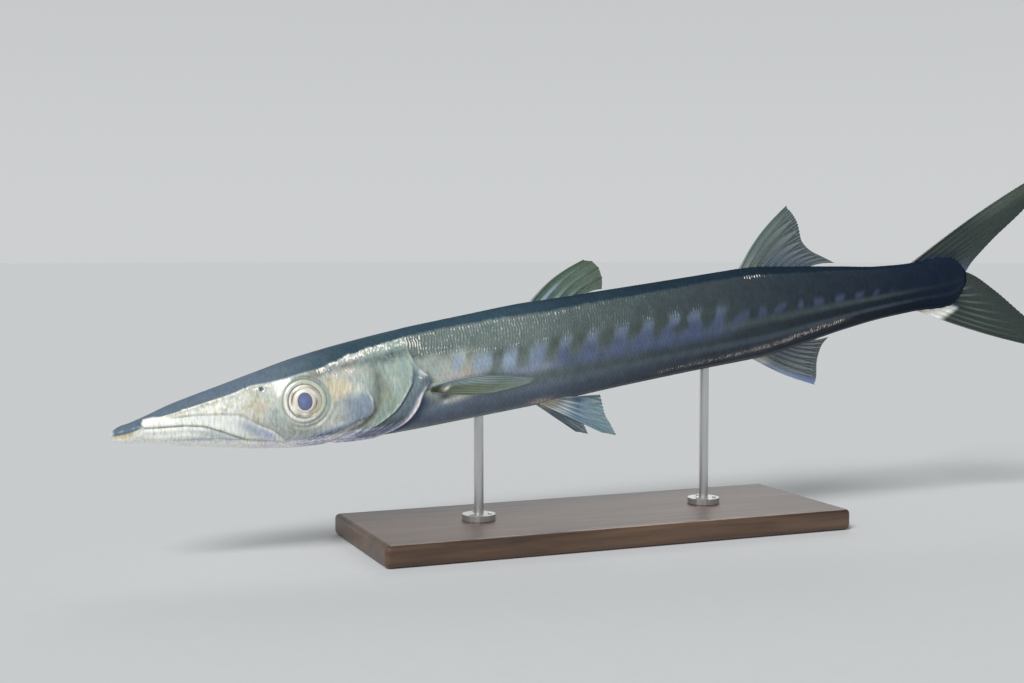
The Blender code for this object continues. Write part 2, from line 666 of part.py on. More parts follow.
def main():
    for thing in list(bpy.data.objects):
        bpy.data.objects.remove(thing)
    flesh = make_material("silver_skin", (0.52, 0.56, 0.56), 0.32, 0.35)
    web = make_material("fin_web", (0.34, 0.38, 0.30), 0.45)
    wood = make_material("dark_wood", (0.09, 0.055, 0.035), 0.45)
    steel = make_material("brushed_steel", (0.62, 0.62, 0.60), 0.30, 1.0)
    glassy = make_material("eye_gloss", (0.10, 0.12, 0.20), 0.08)

    pose = bpy.data.objects.new("fish_pose", None)
    bpy.context.scene.collection.objects.link(pose)
    pose.location = (0.0, 0.0, NOSE_HEIGHT)
    pose.rotation_euler = (0.0, -math.radians(HEAD_DOWN_DEG), 0.0)

    build_head(pose, flesh)
    build_trunk(pose, flesh)
    build_upright_fin("first_dorsal_fin", FIRST_DORSAL, pose, web)
    build_upright_fin("second_dorsal_fin", SECOND_DORSAL, pose, web)
    build_upright_fin("anal_fin", ANAL, pose, web)
    build_tail_fin(pose, web)
    for side, word in ((1, "left"), (-1, "right")):
        add_object(f"eye_{word}", eye_mesh(f"eye_{word}", side, 0.0), glassy, pose)
        build_pectoral(side, word, pose, web)
        build_pelvic(side, word, pose, web)
    build_stand(pose.location, wood, steel)
    centre_on_floor()


main()
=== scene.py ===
"""The finished surfaces of a life-size still model of a barracuda on a plain display stand.

The fish has its own frame. Station runs from 0 at the tip of the lower jaw to 1 at the end of the body,
before the tail fin. Turn is the angle round the body, in degrees: 0 on the back, 90 on the side and 180
under the belly. Heights are shares of the standard length, as stations are, and what stands out from the
plain body, called the rise, is in metres. side is 1 on the fish's left, which faces -Y, and -1 on its right.
"""

import math
from functools import partial, partialmethod

import bmesh
import bpy
import numpy as np
from bpy.props import FloatProperty, FloatVectorProperty, IntProperty, PointerProperty
from mathutils import Matrix, Vector


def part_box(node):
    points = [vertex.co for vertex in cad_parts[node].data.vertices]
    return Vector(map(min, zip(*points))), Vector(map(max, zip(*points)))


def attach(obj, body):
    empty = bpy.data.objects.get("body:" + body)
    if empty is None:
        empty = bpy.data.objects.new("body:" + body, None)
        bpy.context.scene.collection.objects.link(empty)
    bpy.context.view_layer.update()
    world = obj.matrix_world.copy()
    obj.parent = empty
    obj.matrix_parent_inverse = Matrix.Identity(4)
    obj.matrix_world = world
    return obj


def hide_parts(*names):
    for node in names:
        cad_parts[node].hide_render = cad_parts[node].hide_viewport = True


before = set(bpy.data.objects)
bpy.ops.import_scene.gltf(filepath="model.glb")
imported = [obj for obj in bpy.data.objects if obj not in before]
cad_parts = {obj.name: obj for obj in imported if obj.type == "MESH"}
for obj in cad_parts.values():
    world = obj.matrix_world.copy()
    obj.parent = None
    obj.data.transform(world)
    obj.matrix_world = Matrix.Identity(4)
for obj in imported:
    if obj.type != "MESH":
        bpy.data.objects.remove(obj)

bl_info = {
    "name": "Barracuda model",
    "version": (1, 0, 0),
    "blender": (4, 5, 0),
    "location": "View3D > Sidebar > Barracuda",
    "description": "Skin, scales, eyes, fins and stand of a life-size barracuda model",
    "category": "Object",
}

# The solids that the one skin takes the place of.
FLESH = (
    "head", "lower_jaw", "gill_cover_left", "gill_cover_right", "body_front", "body_middle", "body_rear",
    "tail_stem",
)
STANDARD_LENGTH = 0.78
HEAD_DOWN_DEG = 7.7
SIDES = ((1, "left"), (-1, "right"))
NOSE_HEIGHT = 0.105
FRONT_ROD_STATION = 0.385

# Station, back height, belly height, half width, height of the widest line, and how square the
# section is above and below that line (2 is an ellipse).
SECTIONS = (
    (0.000, 0.0046, -0.0112, 0.0085, -0.0034, 2.0, 2.0),
    (0.016, 0.0062, -0.0130, 0.0104, -0.0034, 2.0, 2.1),
    (0.030, 0.0092, -0.0147, 0.0124, -0.0034, 2.0, 2.2),
    (0.060, 0.0180, -0.0229, 0.0164, -0.0048, 2.0, 2.3),
    (0.110, 0.0280, -0.0342, 0.0214, -0.0070, 2.1, 2.3),
    (0.150, 0.0358, -0.0425, 0.0252, -0.0060, 2.3, 2.3),
    (0.190, 0.0430, -0.0475, 0.0288, -0.0040, 2.5, 2.2),
    (0.240, 0.0490, -0.0500, 0.0338, -0.0010, 2.4, 2.1),
    (0.300, 0.0540, -0.0513, 0.0376, 0.0010, 2.3, 2.1),
    (0.370, 0.0572, -0.0508, 0.0400, 0.0020, 2.2, 2.1),
    (0.450, 0.0600, -0.0500, 0.0412, 0.0030, 2.15, 2.1),
    (0.550, 0.0592, -0.0472, 0.0408, 0.0040, 2.15, 2.1),
    (0.650, 0.0588, -0.0455, 0.0390, 0.0045, 2.1, 2.1),
    (0.715, 0.0588, -0.0452, 0.0365, 0.0045, 2.1, 2.05),
    (0.780, 0.0516, -0.0388, 0.0312, 0.0045, 2.1, 2.0),
    (0.845, 0.0425, -0.0308, 0.0248, 0.0040, 2.1, 2.0),
    (0.900, 0.0348, -0.0264, 0.0196, 0.0035, 2.1, 2.0),
    (0.945, 0.0322, -0.0254, 0.0152, 0.0032, 2.1, 2.0),
    (0.985, 0.0336, -0.0276, 0.0098, 0.0030, 2.0, 2.0),
    (1.000, 0.0325, -0.0262, 0.0054, 0.0030, 2.0, 2.0),
    (1.010, 0.0285, -0.0205, 0.0030, 0.0034, 2.0, 2.0),
    (1.018, 0.0210, -0.0115, 0.0017, 0.0040, 2.0, 2.0),
    (1.024, 0.0115, -0.0020, 0.0009, 0.0045, 2.0, 2.0),
)
SKIN_END = 1.024
NOSE_ROUND = 0.014
# The ring of the skin's grid that follows the gill edge, and where the close rings of the head begin and end.
GILL_RING = 0.3
HEAD_RINGS = (0.012, 0.335)

# Lines round the body, as turn and station.
GILL_EDGE = (
    (0, 0.3), (45, 0.301), (67, 0.304), (80, 0.311), (90, 0.3194), (99, 0.3118), (105, 0.3085),
    (116, 0.3045), (130, 0.2967), (142, 0.287), (153, 0.2755), (165, 0.262), (180, 0.245),
)
COVER_FRONT = (
    (50, 0.26), (66, 0.2663), (86, 0.2655), (101, 0.2641), (114, 0.259), (129, 0.2473), (144, 0.2312),
    (160, 0.213),
)
COVER_BONE_EDGE = (
    (60, 0.296), (74, 0.301), (88, 0.2985), (101, 0.2902), (116, 0.2793), (127, 0.2668), (140, 0.2524),
    (152, 0.237), (165, 0.22),
)
CHEEK_FLAP_EDGE = (
    (84, 0.248), (90, 0.253), (99, 0.2557), (108, 0.2562), (114, 0.2547), (119, 0.2496), (122, 0.2397),
    (132, 0.223), (142, 0.206),
)

# Lines on the side of the head, as station and height.
LIP_LINE = (
    (0.0265, 0.02), (0.0278, 0.007), (0.031, 0.0004), (0.045, -0.001), (0.0687, -0.0031),
    (0.0867, -0.0068), (0.1019, -0.0139), (0.116, -0.0219), (0.127, -0.0278), (0.14, -0.0312),
    (0.155, -0.0348), (0.168, -0.0388),
)
UPPER_LIP_LINE = (
    (0.04, 0.0072), (0.0584, 0.0063), (0.0806, 0.0054), (0.1027, 0.0026), (0.1227, -0.0011),
    (0.1307, -0.0064), (0.1396, -0.0135), (0.1541, -0.023), (0.1645, -0.0333), (0.169, -0.039),
)
# The line where the dark back gives way to the silver side, as station and turn.
BACK_LINE = (
    (0.0, 84), (0.01, 82), (0.02, 78), (0.028, 70), (0.036, 48), (0.042, 47), (0.06, 49), (0.095, 46),
    (0.122, 45), (0.136, 42), (0.16, 48), (0.175, 50), (0.205, 50), (0.222, 45), (0.245, 38), (0.275, 34),
    (0.3, 31), (0.34, 31), (0.4, 33),
    (0.45, 37), (0.5, 35), (0.6, 33), (0.66, 30), (0.75, 35), (0.85, 31), (1.0, 32),
)
LATERAL_LINE = (
    (0.302, 52), (0.3093, 60), (0.3225, 63), (0.345, 66), (0.38, 70), (0.42, 72), (0.45, 72), (0.5, 71),
    (0.65, 68), (0.8, 67), (1.0, 70),
)
# Stations of the pale patches of the flank, between its bars.
PATCHES = (
    0.313, 0.345, 0.3767, 0.405, 0.437, 0.469, 0.5008, 0.533, 0.5645, 0.596, 0.626, 0.657, 0.688,
    0.7145, 0.7403, 0.7669, 0.794, 0.822, 0.851, 0.877, 0.908,
)
BAR_LEAN = 0.075
BAR_LEVEL_DEG = 84.0

# Clusters of painted glints, bright dashes along the lateral line, as station and how thick they stand.
LINE_CLUSTERS = (
    (0.3, 0.0), (0.312, 0.95), (0.338, 0.8), (0.35, 0.35), (0.366, 0.3), (0.376, 0.9), (0.392, 0.8),
    (0.402, 0.15), (0.409, 0.8), (0.419, 0.8), (0.43, 0.1), (0.44, 0.8), (0.452, 0.8), (0.462, 0.0),
)

# How far the colours have gone from those of the shoulder to those of the tail stem, by station: painted
# shade, the colours growing darker towards the tail where the light falls off.
DARKENING = (
    (0.3, 0.0), (0.37, 0.03), (0.405, 0.09), (0.437, 0.18), (0.485, 0.46), (0.533, 0.56), (0.58, 0.7),
    (0.626, 0.78), (0.672, 0.82), (0.715, 0.87), (0.767, 0.91), (0.822, 0.95), (0.93, 1.0),
)

# How long a scale is for its station, from 1 at the shoulder.
SCALE_SHARES = ((0.3, 1.0), (0.55, 0.9), (0.8, 0.76), (1.0, 0.55))
SCALES_BEHIND_GILL = 0.0035
BARE_THROAT = 0.0075
FIRST_SCALE = 0.245
LAST_SCALE = 1.004

EYE_STATION = 0.1877
EYE_HEIGHT = 0.0015
EYE_RADIUS = 0.015
EYE_DEPTH = 0.008
EYE_SINK = 0.004
CLEAR_FRONT = 0.00045
PUPIL_HALF = (0.0058, 0.0069)
# Rolls of clear skin round the eye: reach from its middle and height over the body, in millimetres.
EYE_ROLLS = (
    (11.2, -1.8), (12.2, 0.0), (12.8, 0.62), (13.2, 0.86), (13.7, 1.05), (14.2, 1.2), (14.8, 1.28),
    (15.4, 1.22), (15.9, 1.02), (16.4, 0.76), (16.8, 0.62), (17.2, 0.62), (17.7, 0.76), (18.2, 0.86),
    (18.8, 0.8), (19.4, 0.6), (20.1, 0.38), (20.9, 0.18), (21.8, 0.04), (22.8, -0.35),
)
# Nostrils, as station, height and radius in metres.
NOSTRILS = ((0.1342, 0.0237, 0.001), (0.1481, 0.0201, 0.0016))

# Fins as the solids have them: first and last root stations, up or down, rays, how far the rays bow,
# and the angle above the axis and the length of rays spread evenly from the first to the last.
FIRST_DORSAL = (
    0.4502, 0.515, 1, 5, 0.06,
    (28.2, 28.4, 26.0, 21.0, 8.5), (0.08, 0.0735, 0.0616, 0.0447, 0.0238),
)
SECOND_DORSAL = (
    0.711, 0.8, 1, 10, 0.053,
    (42.2, 35.6, 24.0, 16.0, 9.0, 0.0), (0.0963, 0.08, 0.057, 0.0475, 0.043, 0.0395),
)
ANAL = (
    0.714, 0.79, -1, 10, 0.031,
    (29.3, 27.1, 22.2, 17.0, 9.5, 2.0), (0.094, 0.079, 0.0617, 0.048, 0.0375, 0.031),
)
UPPER_LOBE = (
    (1.176, 0.124), (1.158, 0.1035), (1.12, 0.0745), (1.0676, 0.0435), (1.033, 0.0195), (1.0246, 0.011),
)
LOWER_LOBE = (
    (1.168, -0.113), (1.149, -0.0925), (1.107, -0.0565), (1.068, -0.0205), (1.037, 0.004), (1.0246, 0.0106),
)
LOBE_FIRST_ROOT = 0.945
LOBE_LAST_ROOT = 0.9985
LOBE_BOW = 0.02
FORK_ROOT_HEIGHT = 0.004
PECTORAL_ROOT = ((0.3175, -0.005), (0.3165, -0.01))
PECTORAL_TIPS = (
    (0.4262, -0.0118), (0.4225, -0.0146), (0.412, -0.0162), (0.398, -0.0172), (0.378, -0.0179),
)
PECTORAL_FLARE = 0.0085
PECTORAL_ARCH = 0.0065
PECTORAL_ARCH_FADE = 1.4
PELVIC_ROOT = ((0.443, 162.0), (0.464, 156.0))
PELVIC_TIPS = (
    (0.508, -0.024, -0.0905), (0.5234, -0.024, -0.0965), (0.5188, -0.022, -0.0837),
    (0.5143, -0.02, -0.0697), (0.5154, -0.014, -0.0505),
)
RIGHT_PELVIC_SHIFT = (-0.01, 0.0, -0.003)
RAY_HALF_THICK = 0.0009
FIN_FINISH = "fin_web_and_rays"

# The camera, aimed at a point beside the middle of the fish.
CAMERA_AZIMUTH_DEG = -22.0
CAMERA_ELEVATION_DEG = 4.0
CAMERA_DISTANCE = 1.246
CAMERA_AIM = (0.3274, 0.0, 0.0611)
CAMERA_LENS_MM = 52.56

# Painted glints on the body's scales, as bright ticks: how far apart they stand, in metres, and how much they
# lean towards the tail as they climb; and the tints that mottle the head.
TICK_PITCH = 0.0024
TICK_LEAN = 0.1
WARM_TINT = (1.04, 1.01, 0.9)
COOL_TINT = (0.96, 1.0, 1.05)

# Soft sunlike lights: name, azimuth and elevation they come from, and strength.
SUNS = (("key", -47.0, 45.0, 3.0), ("fill", 150.0, 35.0, 0.5))
SUN_WIDTH_DEG = 25.0
HORIZON_LIGHT = (0.61, 0.625, 0.635)
ZENITH_LIGHT = (0.2, 0.21, 0.22)
FLOOR_COLORS = ((0.551, 0.561, 0.566), (0.571, 0.581, 0.586))


def pose_matrix():
    """From the fish's frame, in metres, to the model's frame."""
    rod_low, rod_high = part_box("stand_rod_front")
    pitch = math.radians(HEAD_DOWN_DEG)
    rod_reach = STANDARD_LENGTH * FRONT_ROD_STATION * math.cos(pitch)
    nose = Vector(((rod_low.x + rod_high.x) / 2 - rod_reach, 0.0, NOSE_HEIGHT))
    return Matrix.Translation(nose) @ Matrix.Rotation(-pitch, 4, "Y")


POSE = pose_matrix()


def to_model(points):
    turned = np.asarray(POSE.to_3x3())
    return np.asarray(points) @ turned.T + np.asarray(POSE.translation)


def linear(color):
    """A display colour as linear light."""
    color = np.asarray(color, float)
    return np.where(color <= 0.04045, color / 12.92, ((color + 0.055) / 1.055) ** 2.4)


def smooth_step(value):
    value = np.clip(value, 0.0, 1.0)
    return value * value * (3.0 - 2.0 * value)


def climb(value, start, width):
    """0 up to start, 1 from start + width on, and smooth between. A width below 0 falls the other way."""
    return smooth_step((value - start) / width)


def bump(value, middle, half):
    """A soft hump, 1 at the middle, a third at half to either side and almost nothing beyond twice that."""
    return np.exp(-np.square((value - middle) / half))


def smooth_curve(stations, values, at):
    """A smooth curve through the given values that never overshoots them."""
    x, y = np.asarray(stations, float), np.asarray(values, float)
    step = np.diff(x)
    slope = np.diff(y) / step
    tangent = np.zeros(len(x))
    tangent[0], tangent[-1] = slope[0], slope[-1]
    same_way = slope[:-1] * slope[1:] > 0
    weight_a, weight_b = 2 * step[1:] + step[:-1], step[1:] + 2 * step[:-1]
    safe = np.where(same_way, slope[:-1] * slope[1:], 1.0)
    mean = (weight_a + weight_b) * safe / (weight_a * slope[1:] + weight_b * slope[:-1] + 1e-30)
    tangent[1:-1] = np.where(same_way, mean, 0.0)
    at = np.clip(np.asarray(at, float), x[0], x[-1])
    i = np.clip(np.searchsorted(x, at, side="right") - 1, 0, len(x) - 2)
    t = (at - x[i]) / step[i]
    return (
        (1 + 2 * t) * (1 - t) ** 2 * y[i]
        + t * (1 - t) ** 2 * step[i] * tangent[i]
        + t * t * (3 - 2 * t) * y[i + 1]
        + t * t * (t - 1) * step[i] * tangent[i + 1]
    )


def along(line, at):
    return smooth_curve([p[0] for p in line], [p[1] for p in line], at)


def through(points, share):
    """Places along a chain of points, evenly by number and rounded at the corners."""
    known = np.linspace(0.0, 1.0, len(points))
    return np.stack([smooth_curve(known, column, share) for column in np.array(points).T], axis=-1)


def section(station):
    """Back, belly, half width, widest height and the two powers of the section at a station."""
    columns = np.array(SECTIONS).T
    back, belly, width, waist, upper, lower = (smooth_curve(columns[0], c, station) for c in columns[1:])
    nose = np.sqrt(1.0 - (1.0 - np.clip(np.asarray(station, float) / NOSE_ROUND, 0.0, 1.0)) ** 2)
    return waist + (back - waist) * nose, waist + (belly - waist) * nose, width * nose, waist, upper, lower


def plain_skin(station, turn):
    """Points of the plain body, in the fish's frame. turn is in radians here, below 0 on the right."""
    back, belly, width, waist, upper, lower = section(station)
    upward = np.cos(turn) >= 0
    power = np.where(upward, upper, lower)
    reach = np.where(upward, back - waist, waist - belly)
    across = np.abs(np.sin(turn)) ** (2 / power) * np.sign(np.sin(turn))
    height = waist + reach * np.abs(np.cos(turn)) ** (2 / power) * np.where(upward, 1, -1)
    station = np.broadcast_to(station, np.shape(height))
    return np.stack([station, -width * across, height], axis=-1) * STANDARD_LENGTH


def outward(station, turn):
    """Unit normals of the plain body surface."""
    nudge = 1e-4
    ahead = plain_skin(station + nudge, turn) - plain_skin(station - nudge, turn)
    about = plain_skin(station, turn + nudge) - plain_skin(station, turn - nudge)
    normal = np.cross(ahead, about)
    normal /= np.maximum(np.linalg.norm(normal, axis=-1, keepdims=True), 1e-12)
    middle = plain_skin(station, turn)
    middle[..., 1:] -= np.stack([0 * station * turn, section(station)[3] * STANDARD_LENGTH + 0 * turn], -1)
    facing = np.sign(normal[..., 1] * middle[..., 1] + normal[..., 2] * middle[..., 2] + 1e-15)
    return normal * facing[..., None]


def side_turn(station, height):
    """The turn, in radians, at which the skin reaches a height."""
    back, belly, _, waist, upper, lower = section(station)
    above = np.clip((height - waist) / (back - waist), 0.0, 1.0) ** (upper / 2)
    below = np.clip((waist - height) / (waist - belly), 0.0, 1.0) ** (lower / 2)
    return np.where(height >= waist, np.arccos(above), math.pi - np.arccos(below))


def lifted(station, turn, rise):
    """Points of the body surface, moved outwards by rise metres."""
    station, turn = np.broadcast_arrays(np.asarray(station, float), np.asarray(turn, float))
    return plain_skin(station, turn) + outward(station, turn) * np.asarray(rise)[..., None]


def line_offset(line, station, height):
    """Distance from a line on the side of the head, in metres, positive above it."""
    nearest = np.full(np.shape(station), 1.0)
    for (s0, z0), (s1, z1) in zip(line, line[1:]):
        run, drop = s1 - s0, z1 - z0
        share = np.clip(((station - s0) * run + (height - z0) * drop) / (run * run + drop * drop), 0.0, 1.0)
        nearest = np.minimum(nearest, np.hypot(station - s0 - share * run, height - z0 - share * drop))
    level = np.interp(station, [p[0] for p in line], [p[1] for p in line])
    return nearest * np.where(height >= level, 1, -1) * STANDARD_LENGTH


def mottle(x, y, seed):
    """Soft random blots, from 0 to 1, about one to each unit square."""
    column, row = np.floor(x).astype(np.int64), np.floor(y).astype(np.int64)
    across, up = smooth_step(x - column), smooth_step(y - row)

    def corner(i, j):
        mixed = (column + i) * 374761393 + (row + j) * 668265263 + seed * 974711
        mixed = (mixed ^ (mixed >> 13)) * 1274126177
        return ((mixed ^ (mixed >> 16)) & 0xFFFF) / 0xFFFF

    near = corner(0, 0) + (corner(1, 0) - corner(0, 0)) * across
    far = corner(0, 1) + (corner(1, 1) - corner(0, 1)) * across
    return near + (far - near) * up


class Spot:
    """Everything the relief and the paint need to know about places on the skin."""

    def __init__(self, station, turn):
        self.s = np.asarray(station, float)
        self.turn = np.abs(np.asarray(turn, float))
        self.deg = np.degrees(self.turn)
        self.z = plain_skin(self.s, self.turn)[..., 2] / STANDARD_LENGTH
        self.gill = self.behind(GILL_EDGE)
        self.cover = self.behind(COVER_FRONT)
        self.bone = self.behind(COVER_BONE_EDGE)
        self.flap = self.behind(CHEEK_FLAP_EDGE)
        self.lip = line_offset(LIP_LINE, self.s, self.z)
        self.upper_lip = line_offset(UPPER_LIP_LINE, self.s, self.z)
        self.below_back = self.deg - along(BACK_LINE, self.s)
        self.below_line = self.deg - along(LATERAL_LINE, self.s)
        self.from_eye = np.hypot(self.s - EYE_STATION, self.z - EYE_HEIGHT) * STANDARD_LENGTH
        self.head = climb(self.gill, 0, -0.0012)

    def behind(self, line):
        """How far behind a line round the body, in metres."""
        return (self.s - along(line, self.deg)) * STANDARD_LENGTH

    def blots(self, length_mm, height_mm, seed):
        """Random blots of about the given size on the skin, from 0 to 1."""
        return mottle(self.s * STANDARD_LENGTH * 1000 / length_mm, self.deg * 0.56 / height_mm, seed)

    def near(self, station, height, reach_along, reach_across, lean_deg=0.0):
        """A soft oval mask round a place on the side, in thousandths of the standard length."""
        lean = math.radians(lean_deg)
        ahead, up = self.s * 1000 - station, self.z * 1000 - height
        x = ahead * math.cos(lean) + up * math.sin(lean)
        y = up * math.cos(lean) - ahead * math.sin(lean)
        return np.exp(-np.square(x / reach_along) - np.square(y / reach_across))

    def inside(self, corners, soft):
        """A mask of a patch on the side, given by its corners, with an edge as soft as soft metres."""
        within = np.zeros(self.s.shape, bool)
        for (s0, z0), (s1, z1) in zip(corners, corners[1:] + corners[:1]):
            level = (self.z - z0) / (z1 - z0 + 1e-12)
            within ^= ((z0 > self.z) != (z1 > self.z)) & (self.s < s0 + (s1 - s0) * level)
        edge = np.abs(line_offset(corners + corners[:1], self.s, self.z))
        return smooth_step(0.5 + np.where(within, edge, -edge) / soft)

    def between(self, low, high, soft=4):
        """A soft mask along the body, from one station to another, in thousandths."""
        s = self.s * 1000
        return smooth_step((s - low) / soft + 0.5) * smooth_step((high - s) / soft + 0.5)

    def around(self, low, high, soft=6.0):
        """A soft mask round the body, from one turn to another."""
        return smooth_step((self.deg - low) / soft + 0.5) * smooth_step((high - self.deg) / soft + 0.5)


def relief(spot):
    """How far the living surface stands out from the plain body, in metres."""
    s, deg = spot.s, spot.deg
    near, between, around = spot.near, spot.between, spot.around
    # Jaws and lips
    jaws = between(28.5, 166, 6)
    on_side = climb(deg, 34, 22)
    lip = spot.lip
    blade = climb(spot.upper_lip, 0, -0.0012) * climb(lip, 0, 0.0009)
    rise = 0.00085 * blade * jaws * on_side
    rise -= 0.00032 * bump(spot.upper_lip, 0, 0.0008) * between(55, 164, 10)
    rise += 0.00035 * bump(lip, 0.0022, 0.0016) * jaws * on_side
    rise += 0.0006 * bump(lip, -0.0024, 0.0018) * between(10, 150, 12) * on_side
    rise -= 0.0007 * bump(lip, 0, 0.00075) * between(10, 168, 4) * on_side
    rise -= 0.0006 * bump(lip, -0.0001, 0.0018) * between(115, 172, 15)
    rise += 0.001 * near(38.5, 4.5, 9.5, 4.2)
    rise += 0.0003 * bump(lip, -0.0078, 0.0012) * between(40, 150, 20)

    for station, height, radius in NOSTRILS:
        reach = np.hypot(s - station, spot.z - height) * STANDARD_LENGTH
        rise += 0.0004 * bump(reach, radius * 1.35, 0.0006) - 0.0016 * bump(reach, 0, radius)
    # Ridges and hollows of the snout
    rise += 0.00045 * bump(spot.below_back, 1.0, 2.6) * between(45, 150, 20)
    rise -= 0.0005 * near(150, 9, 18, 6, -12)
    rise -= 0.0008 * bump(deg, 0, 9.0) * between(60, 200, 50)
    rise += 0.0004 * bump(deg, 19.0, 6.0) * between(80, 210, 50)
    rise += 0.00055 * bump(spot.from_eye, 0.0225, 0.0016) * around(88, 130, 18)
    # Small scales of the cheek
    cheek = between(150, 300, 30) * climb(deg, 45, 12) * spot.head
    rise += 0.00016 * (spot.blots(1.5, 4.5, 31) - 0.5) * cheek

    # Flap of the cheek, gill cover and throat
    flap = around(92, 136, 9)
    rise += 0.0008 * climb(spot.flap, 0, -0.001) * climb(spot.flap, -0.024, 0.014) * flap
    rise -= 0.001 * bump(spot.cover, -0.0006, 0.0032) * climb(deg, 48, 14)
    rise -= 0.00035 * bump(spot.flap, 0, 0.0008) * flap
    cover = climb(spot.cover, 0, 0.02) * spot.head * climb(deg, 48, 12)
    rise += 0.0013 * cover
    below_ear = around(67, 162, 11)
    rise -= 0.0006 * climb(spot.bone, 0, 0.0009) * cover * below_ear
    rise += 0.0005 * bump(spot.bone, -0.0012, 0.0011) * below_ear * spot.head
    rise += 0.0005 * bump(spot.gill, -0.0016, 0.0012) * climb(deg, 55, 15)
    fold = climb(deg, 128, 12) * between(160, 300, 30) * spot.head
    rise += 0.00035 * fold * np.cos(spot.gill * 2 * math.pi / 0.0062)
    # Step at the gill opening, hollow behind the pectoral fin's root and eye socket
    gutter = bump(spot.gill, 0.0012, 0.0022) * (spot.gill > 0)
    rise -= 0.0009 * gutter * climb(deg, 50, 15)
    rise -= 0.0006 * near(326, -9, 12, 5) * (1 - spot.head)
    socket = climb(spot.from_eye, 0.015, -0.004)
    return rise * (1 - socket) - 0.006 * socket


class Paint:
    """Colours laid over one another, in linear light."""

    def __init__(self, shape, kit, name):
        self.kit = kit
        self.color = np.broadcast_to(self.named(name), (*shape, 3)).copy()

    def named(self, name):
        return linear(getattr(self.kit, name))

    def lay(self, name, strength):
        strength = np.clip(np.asarray(strength, float), 0.0, 1.0)[..., None]
        self.color += (self.named(name) - self.color) * strength

    def shade(self, factor):
        self.color *= np.asarray(factor)[..., None]


def patch_wave(spot):
    """1 in the middle of each pale patch and 0 in the middle of each bar, which lean back as they climb."""
    level = spot.s + BAR_LEAN * (spot.deg - BAR_LEVEL_DEG) / 180 + 0.01 * (spot.blots(11, 7, 41) - 0.5)
    return 0.5 + 0.5 * np.cos(2 * math.pi * np.interp(level, PATCHES, np.arange(len(PATCHES))))


